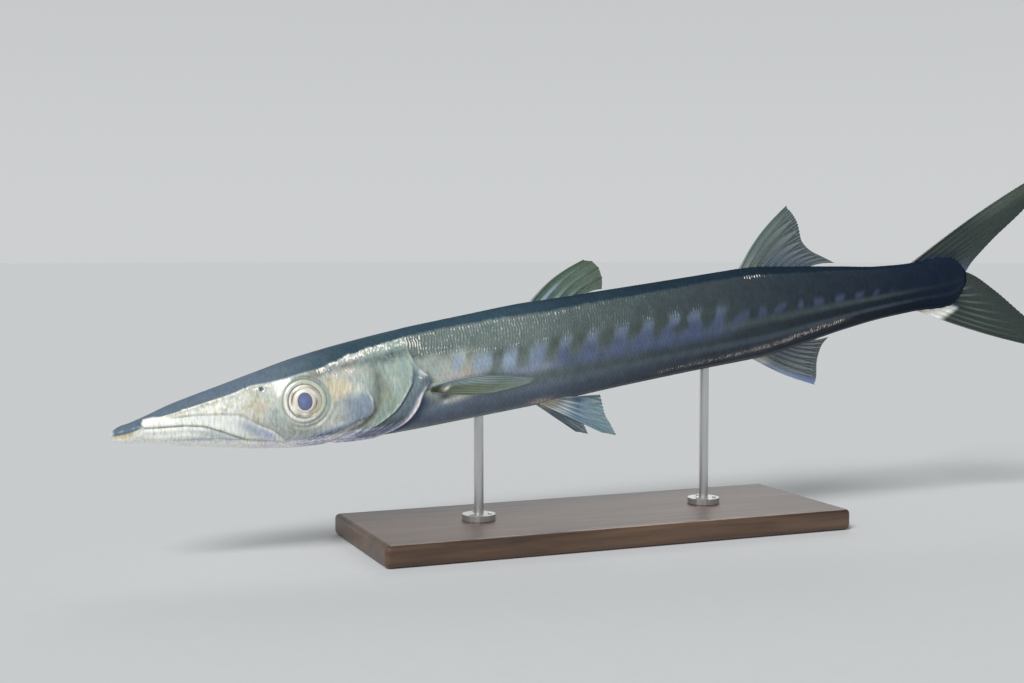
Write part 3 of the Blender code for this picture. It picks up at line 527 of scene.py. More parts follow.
def body_paint(spot, kit):
    """Colours of the scaled body with its painted shade, how thick its glints stand and how glossy it is."""
    s, deg, down, below = spot.s, spot.deg, spot.below_back, spot.below_line
    # aft: how far the painted shade towards the tail has gone at each place
    aft = along(DARKENING, s)
    paint = Paint(s.shape, kit, "upper_flank")
    lay, near, between, around = paint.lay, spot.near, spot.between, spot.around

    def lay_with_tail_shade(name, strength):
        """Lay a colour that turns into its darker rear one towards the tail: painted shade where the light
        falls off.
        """
        strength = strength * np.ones(s.shape)
        lay(name, strength)
        lay(name + "_rear", strength * aft)

    # Ground colours
    wave = patch_wave(spot)
    barred = between(330, 900, 50)
    fore = climb(s, 0.475, -0.06)
    rear = climb(s, 0.63, 0.07)
    middle = (1 - fore) * (1 - rear)
    cloud, fine = spot.blots(9, 6, 3), spot.blots(2.6, 3.4, 4)
    lay_with_tail_shade("upper_flank", 1.0)
    lay_with_tail_shade("lower_flank", climb(deg, 86, 16))
    shoulder = around(66, 112, 12) * between(290, 372, 30)
    lay("shoulder", 0.9 * shoulder * (0.7 + 0.3 * cloud))
    lay("rose_gold", 0.42 * near(352, 2, 22, 7))
    lay("sea_silver", 0.55 * near(325, 10, 12, 8) * fine)

    # Pale patches and dark bars
    core = climb(wave, 0.2, 0.66)
    oval = core * bump(below, 14, 9.5) * barred
    lay("notch", 0.46 * climb(wave, 0.52, -0.5) * bump(below, 5, 6) * barred * (fore + middle))
    lay("notch", 0.26 * climb(wave, 0.5, -0.5) * bump(below, 10, 9) * barred * middle)
    lay("patch", 0.95 * oval * fore * between(340, 470, 20))
    lay("violet", 0.5 * oval * fore * climb(s, 0.385, 0.06))
    sunk = np.clip((below - 2) / 26, 0, 1)
    wedge = climb(wave - 0.52 + 0.62 * sunk, 0, 0.6)
    band = climb(below, 1, 8) * climb(below, 35, -13)
    lay_with_tail_shade("violet", 0.66 * wedge * band * middle)
    lay_with_tail_shade("patch", 0.3 * core * bump(below, 6, 6) * middle)
    lay_with_tail_shade("violet", 0.5 * bump(deg, 98, 7) * between(470, 660, 90))
    dots = climb(wave, 0.4, 0.5) * bump(below, 16.5, 5.0)
    lay_with_tail_shade("violet", 0.62 * dots * rear * between(600, 890, 60) * (1 - 0.35 * aft))
    lay("lilac", 0.35 * bump(deg, 98, 5) * between(400, 455, 30))

    # Belly, back and tail stem
    # The grey of the belly is partly painted shade
    lay_with_tail_shade("belly", climb(deg, 110, 16))
    lay("violet", 0.22 * between(300, 450, 50) * around(112, 150, 20) * cloud)
    lay_with_tail_shade("under", climb(deg, 150, 16))
    lay_with_tail_shade("back", climb(1.5 - down - 3 * (fine - 0.5), 0, 5))
    # Painted shade: the tail stem darkest of all
    lay("tail_stem", 0.85 * climb(s, 0.86, 0.12))
    # low and pelvic: a band of painted pink-gold glints low on the flank, and a painted glint by the pelvic
    # fins' root
    low_line = np.interp(s, (0.56, 0.6, 0.7, 0.79, 0.86), (146, 141, 136, 128, 124))
    low = bump(deg, low_line, 6) * between(575, 835, 30)
    lay("rose_gold", 0.12 * low * (0.4 + 0.6 * cloud))
    pelvic = bump(s, 0.441, 0.014) * bump(deg, 151, 7)
    lay("rose_gold", 0.65 * pelvic)
    paint.shade(1 + 0.16 * (cloud - 0.5) + 0.14 * (fine - 0.5))
    # Painted shade behind the gill opening and round the pectoral fin, and white marks by its root
    # Painted shade in the step just behind the gill opening
    shade_behind_gill = 0.8 * bump(spot.gill, 0.002, 0.004) * climb(deg, 100, 12)
    lay("bone_line_and_shade", shade_behind_gill * (spot.gill > 0))
    # Painted shade below the pectoral fin, behind the gill opening
    dark = climb(spot.gill, 0.013, -0.011) * around(104, 166, 14)
    lay("bone_line_and_shade", 0.62 * dark)
    lay("white", 0.75 * near(347, -21.4, 15, 4, 6))
    lay("shade", 0.95 * near(331.5, -18, 6.5, 3, 4))
    # Painted shadow of the pectoral fin: a long dark line under its lower edge
    lay("notch", 0.6 * near(385, -20, 34, 1.2, -3))
    lay("white", 0.95 * near(333, -23.8, 2.6, 1.6, 8))

    # How thick the glints stand, and the gloss
    fade = np.interp(s, (0.3, 0.42, 0.55, 0.66, 0.72), (1.0, 0.85, 0.6, 0.35, 0.0))
    spark = 0.62 * bump(down, 3.8, 2.2) * between(300, 700, 30) * fade
    field = np.interp(s, (0.3, 0.36, 0.44, 0.5, 0.56, 0.66), (0.24, 0.25, 0.24, 0.22, 0.16, 0.0))
    spark += field * climb(down, 0, 4) * climb(below, -3, -6) * (0.7 + 0.6 * cloud)
    spark += 0.22 * bump(deg, 49, 3.5) * between(320, 460, 40)
    spark += 0.95 * between(298, 316.5, 5) * climb(down, -1, 3) * climb(deg, 54, -6)
    dashes = bump(below, -0.5, 1.9) + bump(below, -6.5, 1.6) * between(310, 360, 10)
    spark += dashes * np.interp(s, *zip(*LINE_CLUSTERS)) * (s < 0.462)
    tops = climb(wave, 0.45, 0.4) * bump(below, -1, 5.5)
    spark += 0.55 * tops * between(455, 655, 20)
    spark += 1.3 * bump(deg, 34, 4.2) * bump(s, 0.714, 0.013)
    spark += 0.42 * bump(deg, 36, 2.4) * between(720, 800, 20)
    spark += 0.95 * low * np.interp(s, (0.575, 0.7, 0.765, 0.8), (0.7, 0.9, 1.3, 1.0)) + 0.8 * pelvic
    side = climb(down, -2, 8)
    gloss = side * climb(deg, 156, -10) * (1 - 0.88 * aft)
    return paint.color, np.clip(spark, 0, 1), gloss


def head_paint(spot, kit):
    """Colours of the head, how thick its glints stand and how glossy it is."""
    s, deg = spot.s, spot.deg
    fine, grain, cloud = spot.blots(1.3, 3.6, 11), spot.blots(2.6, 2.6, 12), spot.blots(7, 6, 13)
    down = spot.below_back + 5 * (grain - 0.5) * climb(s, 0.2, 0.03)
    face = Paint(s.shape, kit, "cheek")
    lay, near, between, around = face.lay, spot.near, spot.between, spot.around
    # Snout and cheek
    lay("cream", climb(s, 0.15, -0.06))
    lay("sea_silver", 0.55 * cloud * climb(s, 0.13, 0.04))
    lay("olive", 0.5 * climb(grain, 0.45, 0.4) * between(50, 235, 30) * around(44, 124, 10))
    lay("olive", 0.45 * near(64, 10.8, 14, 3.4, 6))
    lay("gold", 0.7 * near(143, 3, 11, 8.5, 20) * (0.5 + 0.5 * fine))
    lay("rose_gold", 0.45 * near(145.5, 3.5, 5, 5))
    lay("sea_silver", 0.45 * near(160, -12, 9, 11, 25))
    lay("ridge_shade", 0.7 * bump(spot.below_back, 7, 5) * between(62, 160, 20) * (0.5 + 0.5 * grain))
    lay("cream", 0.7 * near(95, 8, 24, 3, 10))
    lay("opercle", 0.9 * climb(s, 0.238, 0.03))
    behind_eye = [
        (0.2115, 0.0175), (0.229, 0.0195), (0.237, 0.011), (0.233, 0.0015), (0.218, -0.003), (0.211, 0.004),
    ]
    lay("gold", 0.85 * spot.inside(behind_eye, 0.006))
    lay("rose_gold", 0.4 * near(222, 6, 5, 6, 40))
    lay("cream", 0.55 * near(240, 4, 8, 6) * (0.6 + 0.4 * fine))
    lay("shade", 0.7 * bump(deg, 55, 6.5) * between(206, 300, 20) * (0.6 + 0.4 * grain))
    lay("shade", 0.5 * near(201, 26, 9, 5.5, 10))
    # Painted glints: pink-gold gleams high on the cheek, where the spark spots stand too
    lay("rose_gold", 0.55 * near(221.2, 22.4, 6, 3.2) + 0.6 * near(237.5, 23.8, 7, 3.6))
    # Gill cover, with the flap of the cheek before it
    lay("cover_shade", 0.8 * bump(spot.cover, -0.0012, 0.0052) * around(70, 140, 16))
    lay("olive", 0.5 * near(272.5, -6, 5, 13, 12))
    lay("opercle", 0.45 * near(283.5, 4, 9, 16, 15) * fine)
    lay("cheek", 0.45 * near(280, 10, 7, 12, 15) * fine)
    lay("shade", 0.7 * near(280, 32, 20, 7, 20) * (0.4 + 0.6 * grain))
    flap = around(90, 138, 9)
    on_flap = climb(spot.flap, 0, -0.0012) * climb(spot.flap, -0.032, 0.02)
    lay("flap_blue", 0.85 * flap * on_flap)
    lay("sea_silver", 0.4 * flap * on_flap * fine)
    lay("white", 0.8 * flap * bump(spot.flap, -0.0006, 0.0007) * climb(s, 0.232, 0.01))
    lay("shade", 0.6 * flap * bump(spot.flap, 0.0009, 0.001) * climb(s, 0.228, 0.01))
    below_ear = around(78, 168, 12)
    lay("membrane", 0.92 * climb(spot.bone, -0.0004, 0.001) * below_ear)
    lay("white", 0.5 * bump(spot.bone, -0.0016, 0.0007) * below_ear * (0.3 + 0.7 * fine))
    lay("bone_line_and_shade", 0.85 * bump(spot.bone, 0.0001, 0.0011) * below_ear)
    lay("sea_silver", 0.5 * bump(spot.bone, 0.0046, 0.0022) * below_ear * fine)
    # Rim of the gill opening
    rim_width = np.interp(deg, (90, 104, 120, 145), (0.0013, 0.0019, 0.0027, 0.0029))
    lay("rim_white", 0.98 * bump(spot.gill, -rim_width, rim_width) * climb(deg, 97, 7))
    lay("lilac", 0.7 * bump(spot.gill, -0.0003, 0.0008) * climb(deg, 97, 7))
    lay("shade", 0.55 * near(314.5, 1, 4, 7, 30))
    # Painted glints: white spots on the rim of the gill opening
    for station, height, reach in ((309.2, 11.8, 2.8), (312.8, 8.6, 2.4), (307.5, 6, 1.8)):
        lay("white", 0.95 * near(station, height, reach * 0.7, reach, -25))
    lay("white", 0.9 * near(312.5, -8.6, 1.8, 3.4, 25))
    # Soft cream before the eye, round the glare: part of the painted highlight
    lay("cream", 0.55 * near(162.5, 16, 9.5, 10, 20))
    # Glare before the eye
    glare = [
        (0.1605, 0.0246), (0.1676, 0.0268), (0.1785, 0.0252), (0.1735, 0.019), (0.1695, 0.0098),
        (0.1625, 0.0105), (0.16, 0.018),
    ]
    lay("white", 1.0 * spot.inside(glare, 0.0022))

    # Below the eye, and the jaws
    on_side = climb(deg, 36, 12)
    lay("sea_silver", 0.4 * near(182, -27, 18, 6))
    lay("olive", 0.35 * near(186, -25, 14, 6) * grain)
    lay("cream", 0.5 * near(205, -24, 20, 7, -8))
    in_blade = climb(spot.upper_lip, 0, -0.001) * climb(spot.lip, 0, 0.001) * between(30, 168, 10)
    lay("pale_lip", 0.8 * in_blade)
    lay("flap_blue", 0.75 * near(133.5, -17.5, 13.5, 6, -38) * in_blade)
    lay("lilac", 0.85 * near(147.5, -25, 8.5, 5, -38) * climb(spot.lip, 0, 0.001))
    lay("white", 0.8 * bump(spot.upper_lip, -0.0009, 0.0006) * between(135, 156, 6))
    jaw = climb(spot.lip, 0, -0.0008) * between(-10, 176, 10)
    lay("pale_lip", 0.9 * jaw)
    lay("sea_silver", 0.45 * jaw * climb(s, 0.06, 0.04) * around(98, 122, 8))
    lay("lilac", 0.4 * jaw * bump(deg, 126, 7) * between(45, 172, 20))
    jaw_line = np.interp(s, (0.05, 0.1, 0.16), (125, 121, 138))
    lay("shade", 0.45 * jaw * bump(deg, jaw_line, 1.5) * between(50, 150, 20))
    lay("white", 0.85 * jaw * climb(deg, 108, 12) * climb(s, 0.075, -0.03))
    lay("olive", 0.9 * near(12, -2, 15, 3, 4))
    lay("amber", 0.85 * near(13, -4.4, 8, 1.6, 4))
    lay("cream", 0.8 * near(40, -4, 15, 2.2, -4))
    lay("lip_shadow", 0.6 * bump(spot.lip, 0, 0.0009) * between(29, 166, 8) * on_side)
    lay("lip_shadow", 0.55 * bump(spot.upper_lip, 0, 0.0009) * between(55, 166, 20))
    lay("lilac", 0.5 * climb(deg, 134, 8) * climb(s, 0.1, 0.04))
    lay("white", 0.8 * jaw * climb(deg, 126, 8))
    stripes = climb(spot.blots(14, 1.6, 21), 0.28, 0.3)
    lay("rim_white", 0.92 * stripes * between(130, 258, 20) * climb(deg, 136, 6))
    lay("violet", 0.65 * near(205, -35, 17, 2.4, 12))
    lay("violet", 0.7 * near(244, -42, 13, 3, 20))
    # Nostrils and top of the head
    for station, height, radius in NOSTRILS:
        reach = np.hypot(s - station, spot.z - height) * STANDARD_LENGTH
        lay("shade", 0.9 * smooth_step((radius - reach) / 0.0005 + 0.5))
    top = climb(down, 2.0, -4.5) * climb(s, -0.001, 0.006)
    lay("head_top", top)
    lay("opercle", 0.1 * top * bump(deg, 30, 14) * between(160, 260, 40))
    lay("back", top * climb(s, 0.13, 0.12))
    snout_tip = [
        (0.0295, 0.0035), (0.0325, 0.0082), (0.042, 0.0092), (0.058, 0.0072), (0.06, 0.002), (0.038, 0.0002),
    ]
    lay("white", 0.95 * spot.inside(snout_tip, 0.002))
    face.shade(1 + 0.16 * (fine - 0.5) * climb(s, 0.12, 0.05) + 0.1 * (cloud - 0.5))

    # How thick the glints stand
    spark = 0.8 * bump(spot.below_back, 2.0, 2.2) * between(58, 130, 10) * (0.45 + 0.55 * cloud)
    for station, height in ((71, 12.4), (78, 13), (134.4, 23.2), (142, 21.4), (154.5, 22.2)):
        spark += 0.9 * near(station, height, 2.8, 1.8)
    band_low = np.interp(s, (0.206, 0.227, 0.245, 0.264, 0.283, 0.3), (59, 53, 49, 47, 46, 44))
    band = climb(spot.below_back, -1.5, 2.5) * smooth_step((band_low - deg) / 6 + 0.5) * between(203, 320, 6)
    spark += band * (0.7 + 0.5 * cloud) * (0.6 + 0.4 * climb(grain, 0.25, 0.35))
    spark += 0.85 * near(221.2, 22.4, 5, 3) + 0.9 * near(237.5, 23.8, 6.5, 3.4)
    spark += 0.55 * near(222, 11, 3, 3.5) + 0.35 * near(285, 31, 16, 7, 30)
    spark += 0.4 * below_ear * bump(spot.bone, -0.001, 0.001)
    spark += 0.3 * near(100, 12.5, 40, 4, 10)
    spark += 0.55 * bump(deg, 139, 3) * between(190, 250, 20)
    side = climb(down, 0, 5)
    return face.color, np.clip(spark, 0, 1), 0.25 + 0.75 * side


def markings(spot, kit):
    """The fish's colours at places on its skin, with painted shade, how thick its glints stand and how glossy
    it is.
    """
    share = spot.head
    body, face = body_paint(spot, kit), head_paint(spot, kit)
    color = face[0] * share[..., None] + body[0] * (1 - share[..., None])
    return color, face[1] * share + body[1] * (1 - share), face[2] * share + body[2] * (1 - share)


class Wire:
    """A socket of a shader node, or a number, that can be worked with in ordinary sums."""

    def __init__(self, nodes, socket):
        self.nodes, self.socket = nodes, socket

    def math(self, operation, *others):
        return self.nodes.add("ShaderNodeMath", {"operation": operation}, dict(enumerate((self, *others))))

    __add__ = __radd__ = partialmethod(math, "ADD")
    __mul__ = __rmul__ = partialmethod(math, "MULTIPLY")
    __sub__ = partialmethod(math, "SUBTRACT")

    def __rsub__(self, other):
        return (self * -1.0) + other

    def above(self, low, high):
        """0 below low, 1 above high, and smooth between."""
        settings = {"interpolation_type": "SMOOTHSTEP", "clamp": True}
        sockets = {"Value": self, "From Min": low, "From Max": high}
        return self.nodes.add("ShaderNodeMapRange", settings, sockets)

    def mix(self, first, second):
        """A colour between two others, by this mask."""
        sockets = {"Factor": self, 6: first, 7: second}
        return self.nodes.add("ShaderNodeMix", {"data_type": "RGBA"}, sockets, output=2)


class Shader:
    """A material, or the world, built from sums on wires."""

    def __init__(self, name, kind="materials", surface="Principled BSDF"):
        self.material = getattr(bpy.data, kind).new(name)
        self.material.use_nodes = True
        self.tree = self.material.node_tree
        self.surface = self.tree.nodes[surface]

    def add(self, kind, settings=None, sockets=None, output=0):
        node = self.tree.nodes.new(kind)
        for key, value in (settings or {}).items():
            if key == "stops":
                self.set_stops(node.color_ramp, value)
            else:
                setattr(node, key, value)
        for key, value in (sockets or {}).items():
            self.feed(node.inputs[key], value)
        return Wire(self, node.outputs[output])

    def set_stops(self, ramp, stops):
        while len(ramp.elements) < len(stops):
            ramp.elements.new(0.5)
        for element, (place, color) in zip(ramp.elements, stops):
            element.position = place
            element.color = (*color, 1.0)

    def feed(self, socket, value):
        if isinstance(value, Wire):
            self.tree.links.new(value.socket, socket)
        elif isinstance(value, (int, float)):
            socket.default_value = value
        elif len(value) == 3 and socket.type == "RGBA":
            socket.default_value = (*value, 1.0)
        else:
            socket.default_value = value

    def set(self, **sockets):
        for key, value in sockets.items():
            self.feed(self.surface.inputs[key.replace("_", " ")], value)

    def place(self):
        return self.add("ShaderNodeTexCoord", output=3)

    def stretched(self, scale, turn_deg=0.0):
        """Object coordinates, squeezed by a scale along each axis."""
        turned = {"Vector": self.place(), "Rotation": (0.0, math.radians(turn_deg), 0.0), "Scale": scale}
        return self.add("ShaderNodeMapping", {}, turned)

    def noise(self, vector, scale, detail=2.0, roughness=0.5):
        sockets = {"Vector": vector, "Scale": scale, "Detail": detail, "Roughness": roughness}
        return self.add("ShaderNodeTexNoise", {}, sockets)

    def attribute(self, name, output="Fac"):
        node = self.add("ShaderNodeAttribute", {"attribute_name": name})
        return Wire(self, node.socket.node.outputs[output])

    def axes(self):
        """The object coordinates as three numbers: towards the tail, to the right and up."""
        split = self.add("ShaderNodeSeparateXYZ", {}, {"Vector": self.place()})
        return [Wire(self, output) for output in split.socket.node.outputs]

    def times(self, color, other):
        """Two colours multiplied together."""
        settings = {"data_type": "RGBA", "blend_type": "MULTIPLY", "clamp_result": True}
        return self.add("ShaderNodeMix", settings, {"Factor": 1.0, 6: color, 7: other}, output=2)

    def toned(self, color, tone):
        """A colour made lighter or darker by a number."""
        grey = self.add("ShaderNodeCombineColor", {}, {"Red": tone, "Green": tone, "Blue": tone})
        return self.times(color, grey)

    def bumped(self, height, distance, strength=1.0):
        return self.add("ShaderNodeBump", {}, {"Height": height, "Distance": distance, "Strength": strength})


def skin_material(name, kit, coat):
    """Wet silver skin: painted markings, fine streaks, painted glints as bright dashes and as ticks on the
    body, and a clear coat.
    """
    shader = Shader(name)
    spark, gloss, comb = shader.attribute("spark"), shader.attribute("gloss"), shader.attribute("comb")
    streaks = shader.noise(shader.stretched((640.0, 400.0, 150.0), -HEAD_DOWN_DEG), 1.0, 3.0, 0.6)
    dashes = shader.noise(shader.stretched((760.0, 420.0, 380.0), -HEAD_DOWN_DEG), 1.0, 1.0)
    pieces = shader.noise(shader.stretched((330.0, 380.0, 430.0)), 1.0, 1.0)
    grains = shader.noise(shader.place(), 700.0, 2.0)
    clouds = shader.noise(shader.place(), 70.0, 3.0)
    tints = shader.noise(shader.place(), 210.0, 3.0)
    aft, _, height = shader.axes()
    sway = (shader.noise(shader.place(), 90.0, 2.0) - 0.5) * 15.0
    # Painted glints of the body: a comb of fine lighter lines, with bright ticks where spark is high
    turns = (aft - height * TICK_LEAN) * (2 * math.pi / TICK_PITCH) + sway
    ticks = turns.math("SINE")
    tone = 1.0 + ((streaks - 0.5) * (1.15 - comb * 0.75) + (grains - 0.5) * 0.25) * (0.35 + gloss * 0.65)
    tone = tone + ticks * comb * spark.above(0.03, 0.35) * 0.22
    color = shader.toned(shader.attribute("paint", "Color"), tone)
    tint = tints.above(0.38, 0.62).mix(COOL_TINT, WARM_TINT)
    color = shader.times(color, ((1.0 - comb) * 0.55).mix((1.0, 1.0, 1.0), tint))
    # Painted glints: flecks on the head and ticks on the body, mixed towards the glint colour
    threshold = 0.72 - spark * 0.27
    fleck = dashes.above(threshold, threshold + 0.06)
    tick = ticks.above(0.05, 0.75) * pieces.above(0.62 - spark * 0.3, 0.7 - spark * 0.28)
    glint = (fleck + (tick - fleck) * comb) * spark.above(0.03, 0.2)
    bright = spark.above(0.42, 0.8).mix(shader.toned(color, 1.8), tuple(linear(kit.glint)))
    color = (glint * (0.6 + spark * 0.4)).mix(color, bright)
    shader.set(Base_Color=color, Metallic=gloss * 0.22, Roughness=0.56 - gloss * 0.24 + (clouds - 0.5) * 0.14)
    relief_height = streaks * 0.6 + grains * 0.2 + glint * 0.5
    shader.set(Normal=shader.bumped(relief_height, 0.00012, 0.55), Coat_Weight=gloss * coat)
    shader.set(Coat_Roughness=0.16, Specular_IOR_Level=0.0)
    return shader.material


def fin_material(name):
    """Thin, half-clear web with firmer rays."""
    shader = Shader(name)
    ray, clear = shader.attribute("ray"), shader.attribute("clear")
    flecks = shader.noise(shader.place(), 240.0, 3.0)
    color = shader.toned(shader.attribute("paint", "Color"), 0.84 + flecks * 0.32)
    shader.set(Base_Color=color, Roughness=0.4 + flecks * 0.15, Alpha=1.0 - clear * (1.0 - ray * 0.8))
    shader.set(Normal=shader.bumped(flecks, 0.0001, 0.4), Coat_Weight=0.12, Coat_Roughness=0.25)
    shader.set(Specular_IOR_Level=0.3)
    return shader.material


def declare(thing, nodes):
    """Say what a piece rides on and which solids it takes the place of."""
    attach(thing, "root")
    if nodes:
        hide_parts(*nodes)


def add_piece(name, mesh, nodes, material):
    thing = bpy.data.objects.new(name, mesh)
    bpy.context.scene.collection.objects.link(thing)
    mesh.materials.append(material)
    declare(thing, nodes)


def mesh_of(name, points, faces, smooth=True, sharp_deg=None):
    """A mesh from points in the fish's frame."""
    mesh = bpy.data.meshes.new(name)
    points = to_model(points)
    faces = np.asarray(faces, np.int32)
    corners = faces.shape[1]
    mesh.vertices.add(len(points))
    mesh.vertices.foreach_set("co", points.astype(np.float32).ravel())
    mesh.loops.add(faces.size)
    mesh.loops.foreach_set("vertex_index", faces.ravel())
    mesh.polygons.add(len(faces))
    mesh.polygons.foreach_set("loop_start", np.arange(len(faces), dtype=np.int32) * corners)
    mesh.update(calc_edges=True)
    mesh.validate()
    if smooth:
        mesh.shade_smooth()
    if sharp_deg:
        mesh.set_sharp_from_angle(angle=math.radians(sharp_deg))
    return mesh


def store(mesh, name, values):
    """Keep a number or a colour with each point of a mesh."""
    values = np.asarray(values, float)
    if values.ndim == 1:
        layer = mesh.attributes.new(name, "FLOAT", "POINT")
        layer.data.foreach_set("value", values.astype(np.float32))
    else:
        full = np.ones((len(values), 4), np.float32)
        full[:, :3] = values
        layer = mesh.attributes.new(name, "FLOAT_COLOR", "POINT")
        layer.data.foreach_set("color", full.ravel())


def store_map(mesh, name, pairs):
    """Keep a flat map, from one pair of numbers for each point."""
    corner = np.empty(len(mesh.loops), np.int32)
    mesh.loops.foreach_get("vertex_index", corner)
    layer = mesh.uv_layers.new(name=name)
    layer.data.foreach_set("uv", np.asarray(pairs, np.float32)[corner].ravel())


def grid_faces(rows, columns, wrap=False):
    """Four-sided faces over a grid of points, joined round if wrap is set."""
    i, j = np.meshgrid(np.arange(rows - 1), np.arange(columns if wrap else columns - 1), indexing="ij")
    k = (j + 1) % columns
    corners = (i * columns + j, i * columns + k, (i + 1) * columns + k, (i + 1) * columns + j)
    return np.stack(corners, -1).reshape(-1, 4)


def outside_out(mesh):
    """Turn the faces of a closed mesh outwards."""
    shell = bmesh.new()
    shell.from_mesh(mesh)
    bmesh.ops.recalc_face_normals(shell, faces=shell.faces)
    if shell.calc_volume(signed=True) < 0:
        bmesh.ops.reverse_faces(shell, faces=shell.faces)
    shell.to_mesh(mesh)
    shell.free()


# Colours of the living fish, with its painted shade and glints, as seen on a screen: what each one is for,
# and its red, green and blue.
COLORS = {
    "back": ("Dark blue-grey of the back", (0.215, 0.29, 0.335)),
    # The colours ending in _rear are painted shade: the same colours darker towards the tail, where the light
    # falls off.
    "back_rear": ("Back towards the tail", (0.1, 0.145, 0.19)),
    "head_top": ("Lilac-grey on top of the snout", (0.375, 0.43, 0.49)),
    "upper_flank": ("Grey-green between the back and the lateral line", (0.445, 0.495, 0.48)),
    "upper_flank_rear": ("Upper flank towards the tail", (0.125, 0.16, 0.205)),
    "patch": ("Pale blue patches of the flank", (0.6, 0.67, 0.745)),
    "violet": ("Violet sheen of the flank and throat", (0.41, 0.46, 0.59)),
    "violet_rear": ("Blue patches towards the tail", (0.18, 0.21, 0.3)),
    "patch_rear": ("Tops of the patches towards the tail", (0.22, 0.27, 0.32)),
    "shoulder": ("Pale silver behind the gill opening", (0.7, 0.725, 0.69)),
    "notch": ("Dark olive bars between the patches", (0.255, 0.295, 0.265)),
    "lower_flank": ("Grey-green of the lower flank", (0.44, 0.5, 0.495)),
    "lower_flank_rear": ("Lower flank towards the tail", (0.135, 0.165, 0.2)),
    # The belly grey is partly painted shade: the pale belly as it looks when shaded from the light above.
    "belly": ("Purplish grey along the belly", (0.5, 0.56, 0.625)),
    "belly_rear": ("Belly side towards the tail", (0.15, 0.165, 0.2)),
    "under": ("Pale underside", (0.68, 0.7, 0.71)),
    "under_rear": ("Underside towards the tail", (0.17, 0.19, 0.22)),
    "ridge_shade": ("Grey-olive below the ridge of the snout", (0.68, 0.71, 0.66)),
    "amber": ("Amber gleam on the tip of the lower jaw", (0.87, 0.77, 0.56)),
    # Painted shade: the dark navy where the light falls off most, also laid on the roots of the tail fin.
    "tail_stem": ("Dark navy before the tail fin", (0.105, 0.145, 0.205)),
    "cream": ("Cream silver of the snout", (0.97, 0.97, 0.94)),
    "cheek": ("Silver of the cheek", (0.8, 0.81, 0.775)),
    "sea_silver": ("Blue-green silver in the cheek and jaws", (0.6, 0.68, 0.7)),
    "olive": ("Olive specks of the head", (0.6, 0.585, 0.44)),
    "gold": ("Gold patches round the eye", (0.85, 0.81, 0.69)),
    "rose_gold": ("Pink and gold gleams", (0.86, 0.78, 0.74)),
    "opercle": ("Green silver of the gill cover", (0.62, 0.695, 0.665)),
    "cover_shade": ("Grey hollow before the gill cover", (0.47, 0.49, 0.455)),
    "flap_blue": ("Blue-grey soft flap of the cheek", (0.53, 0.59, 0.69)),
    "membrane": ("Blue-grey membrane behind the gill cover", (0.42, 0.485, 0.53)),
    # Also laid as painted shade behind the gill opening and under the pectoral fin.
    "bone_line_and_shade": ("Dark blue line along the gill cover", (0.23, 0.28, 0.385)),
    "rim_white": ("White rim of the gill opening", (0.95, 0.93, 0.97)),
    "lilac": ("Lilac sheen of the throat and jaw", (0.66, 0.68, 0.83)),
    "pale_lip": ("Pale silver of the jaws", (0.95, 0.965, 0.945)),
    "white": ("White marks", (0.99, 0.99, 0.96)),
    "lip_shadow": ("Olive line of the mouth", (0.56, 0.56, 0.5)),
    "shade": ("Dark olive-grey between the marks", (0.3, 0.335, 0.345)),
    # Painted glints: the colour of the bright dashes and ticks.
    "glint": ("Bright dashes in the skin", (0.96, 0.93, 0.9)),
    "spine_web": ("Olive web of the first dorsal fin", (0.31, 0.42, 0.355)),
    "spine": ("Olive spines of the first dorsal fin", (0.43, 0.49, 0.43)),
    "soft_web": ("Blue-green web of the soft fins", (0.19, 0.27, 0.3)),
    "soft_ray": ("Olive rays of the soft fins", (0.4, 0.47, 0.35)),
    "blue_ray": ("Blue gleam on the leading rays", (0.44, 0.52, 0.72)),
    "belly_web": ("Teal web of the belly fins", (0.38, 0.52, 0.55)),
    "pectoral_web": ("Pale grey-green web of the pectoral fins", (0.47, 0.52, 0.5)),
    "pectoral_olive": ("Grey olive of the pectoral fins' lower half", (0.4, 0.44, 0.34)),
    "tail_web": ("Dark green-grey of the tail fin", (0.135, 0.185, 0.185)),
    "brown": ("Brown-olive tips of the first dorsal fin", (0.27, 0.31, 0.22)),
    "iris": ("Cream gold of the eye", (0.9, 0.87, 0.79)),
    "iris_brown": ("Brown ring in the eye", (0.44, 0.38, 0.32)),
    "mauve": ("Grey mauve spot low in the eye", (0.55, 0.5, 0.56)),
    "pupil": ("Slate blue of the pupil", (0.31, 0.36, 0.57)),
    "pupil_light": ("Lighter blue in the pupil", (0.4, 0.51, 0.71)),
    "pupil_rim": ("Dark edge of the pupil", (0.2, 0.2, 0.38)),
    "eye_ring": ("Pale skin round the eye", (0.77, 0.79, 0.73)),
    "tail_ray": ("Olive rays of the tail fin", (0.21, 0.26, 0.22)),
}


def length_property(name, description, default):
    return FloatProperty(name=name, description=description, default=default, unit="LENGTH")


class BarracudaSizes(bpy.types.PropertyGroup):
    """Sizes and counts of the finished surfaces."""

    head_step: length_property("Head step", "Distance between rings of the head's skin", 0.00066)
    rings_round: IntProperty(name="Points round", description="Points in each ring of the skin", default=200)
    scale_rows: IntProperty(name="Scale rows", description="Rows of scales on each side", default=36)
    scale_length: length_property("Scale length", "Bare length of a scale at the shoulder", 0.0039)
    scale_lift: length_property("Scale lift", "How far the hind edge of a scale stands off", 0.00018)
    web_half: length_property("Web half thickness", "Half the thickness of the web between rays", 0.00014)


class BarracudaColors(bpy.types.PropertyGroup):
    """Colours of the living fish, with its painted shade and glints, as seen on a screen."""

    __annotations__ = {
        key: FloatVectorProperty(
            name=key.replace("_", " ").capitalize(), description=words, subtype="COLOR_GAMMA",
            size=3, min=0, max=1, default=color,
        )
        for key, (words, color) in COLORS.items()
    }


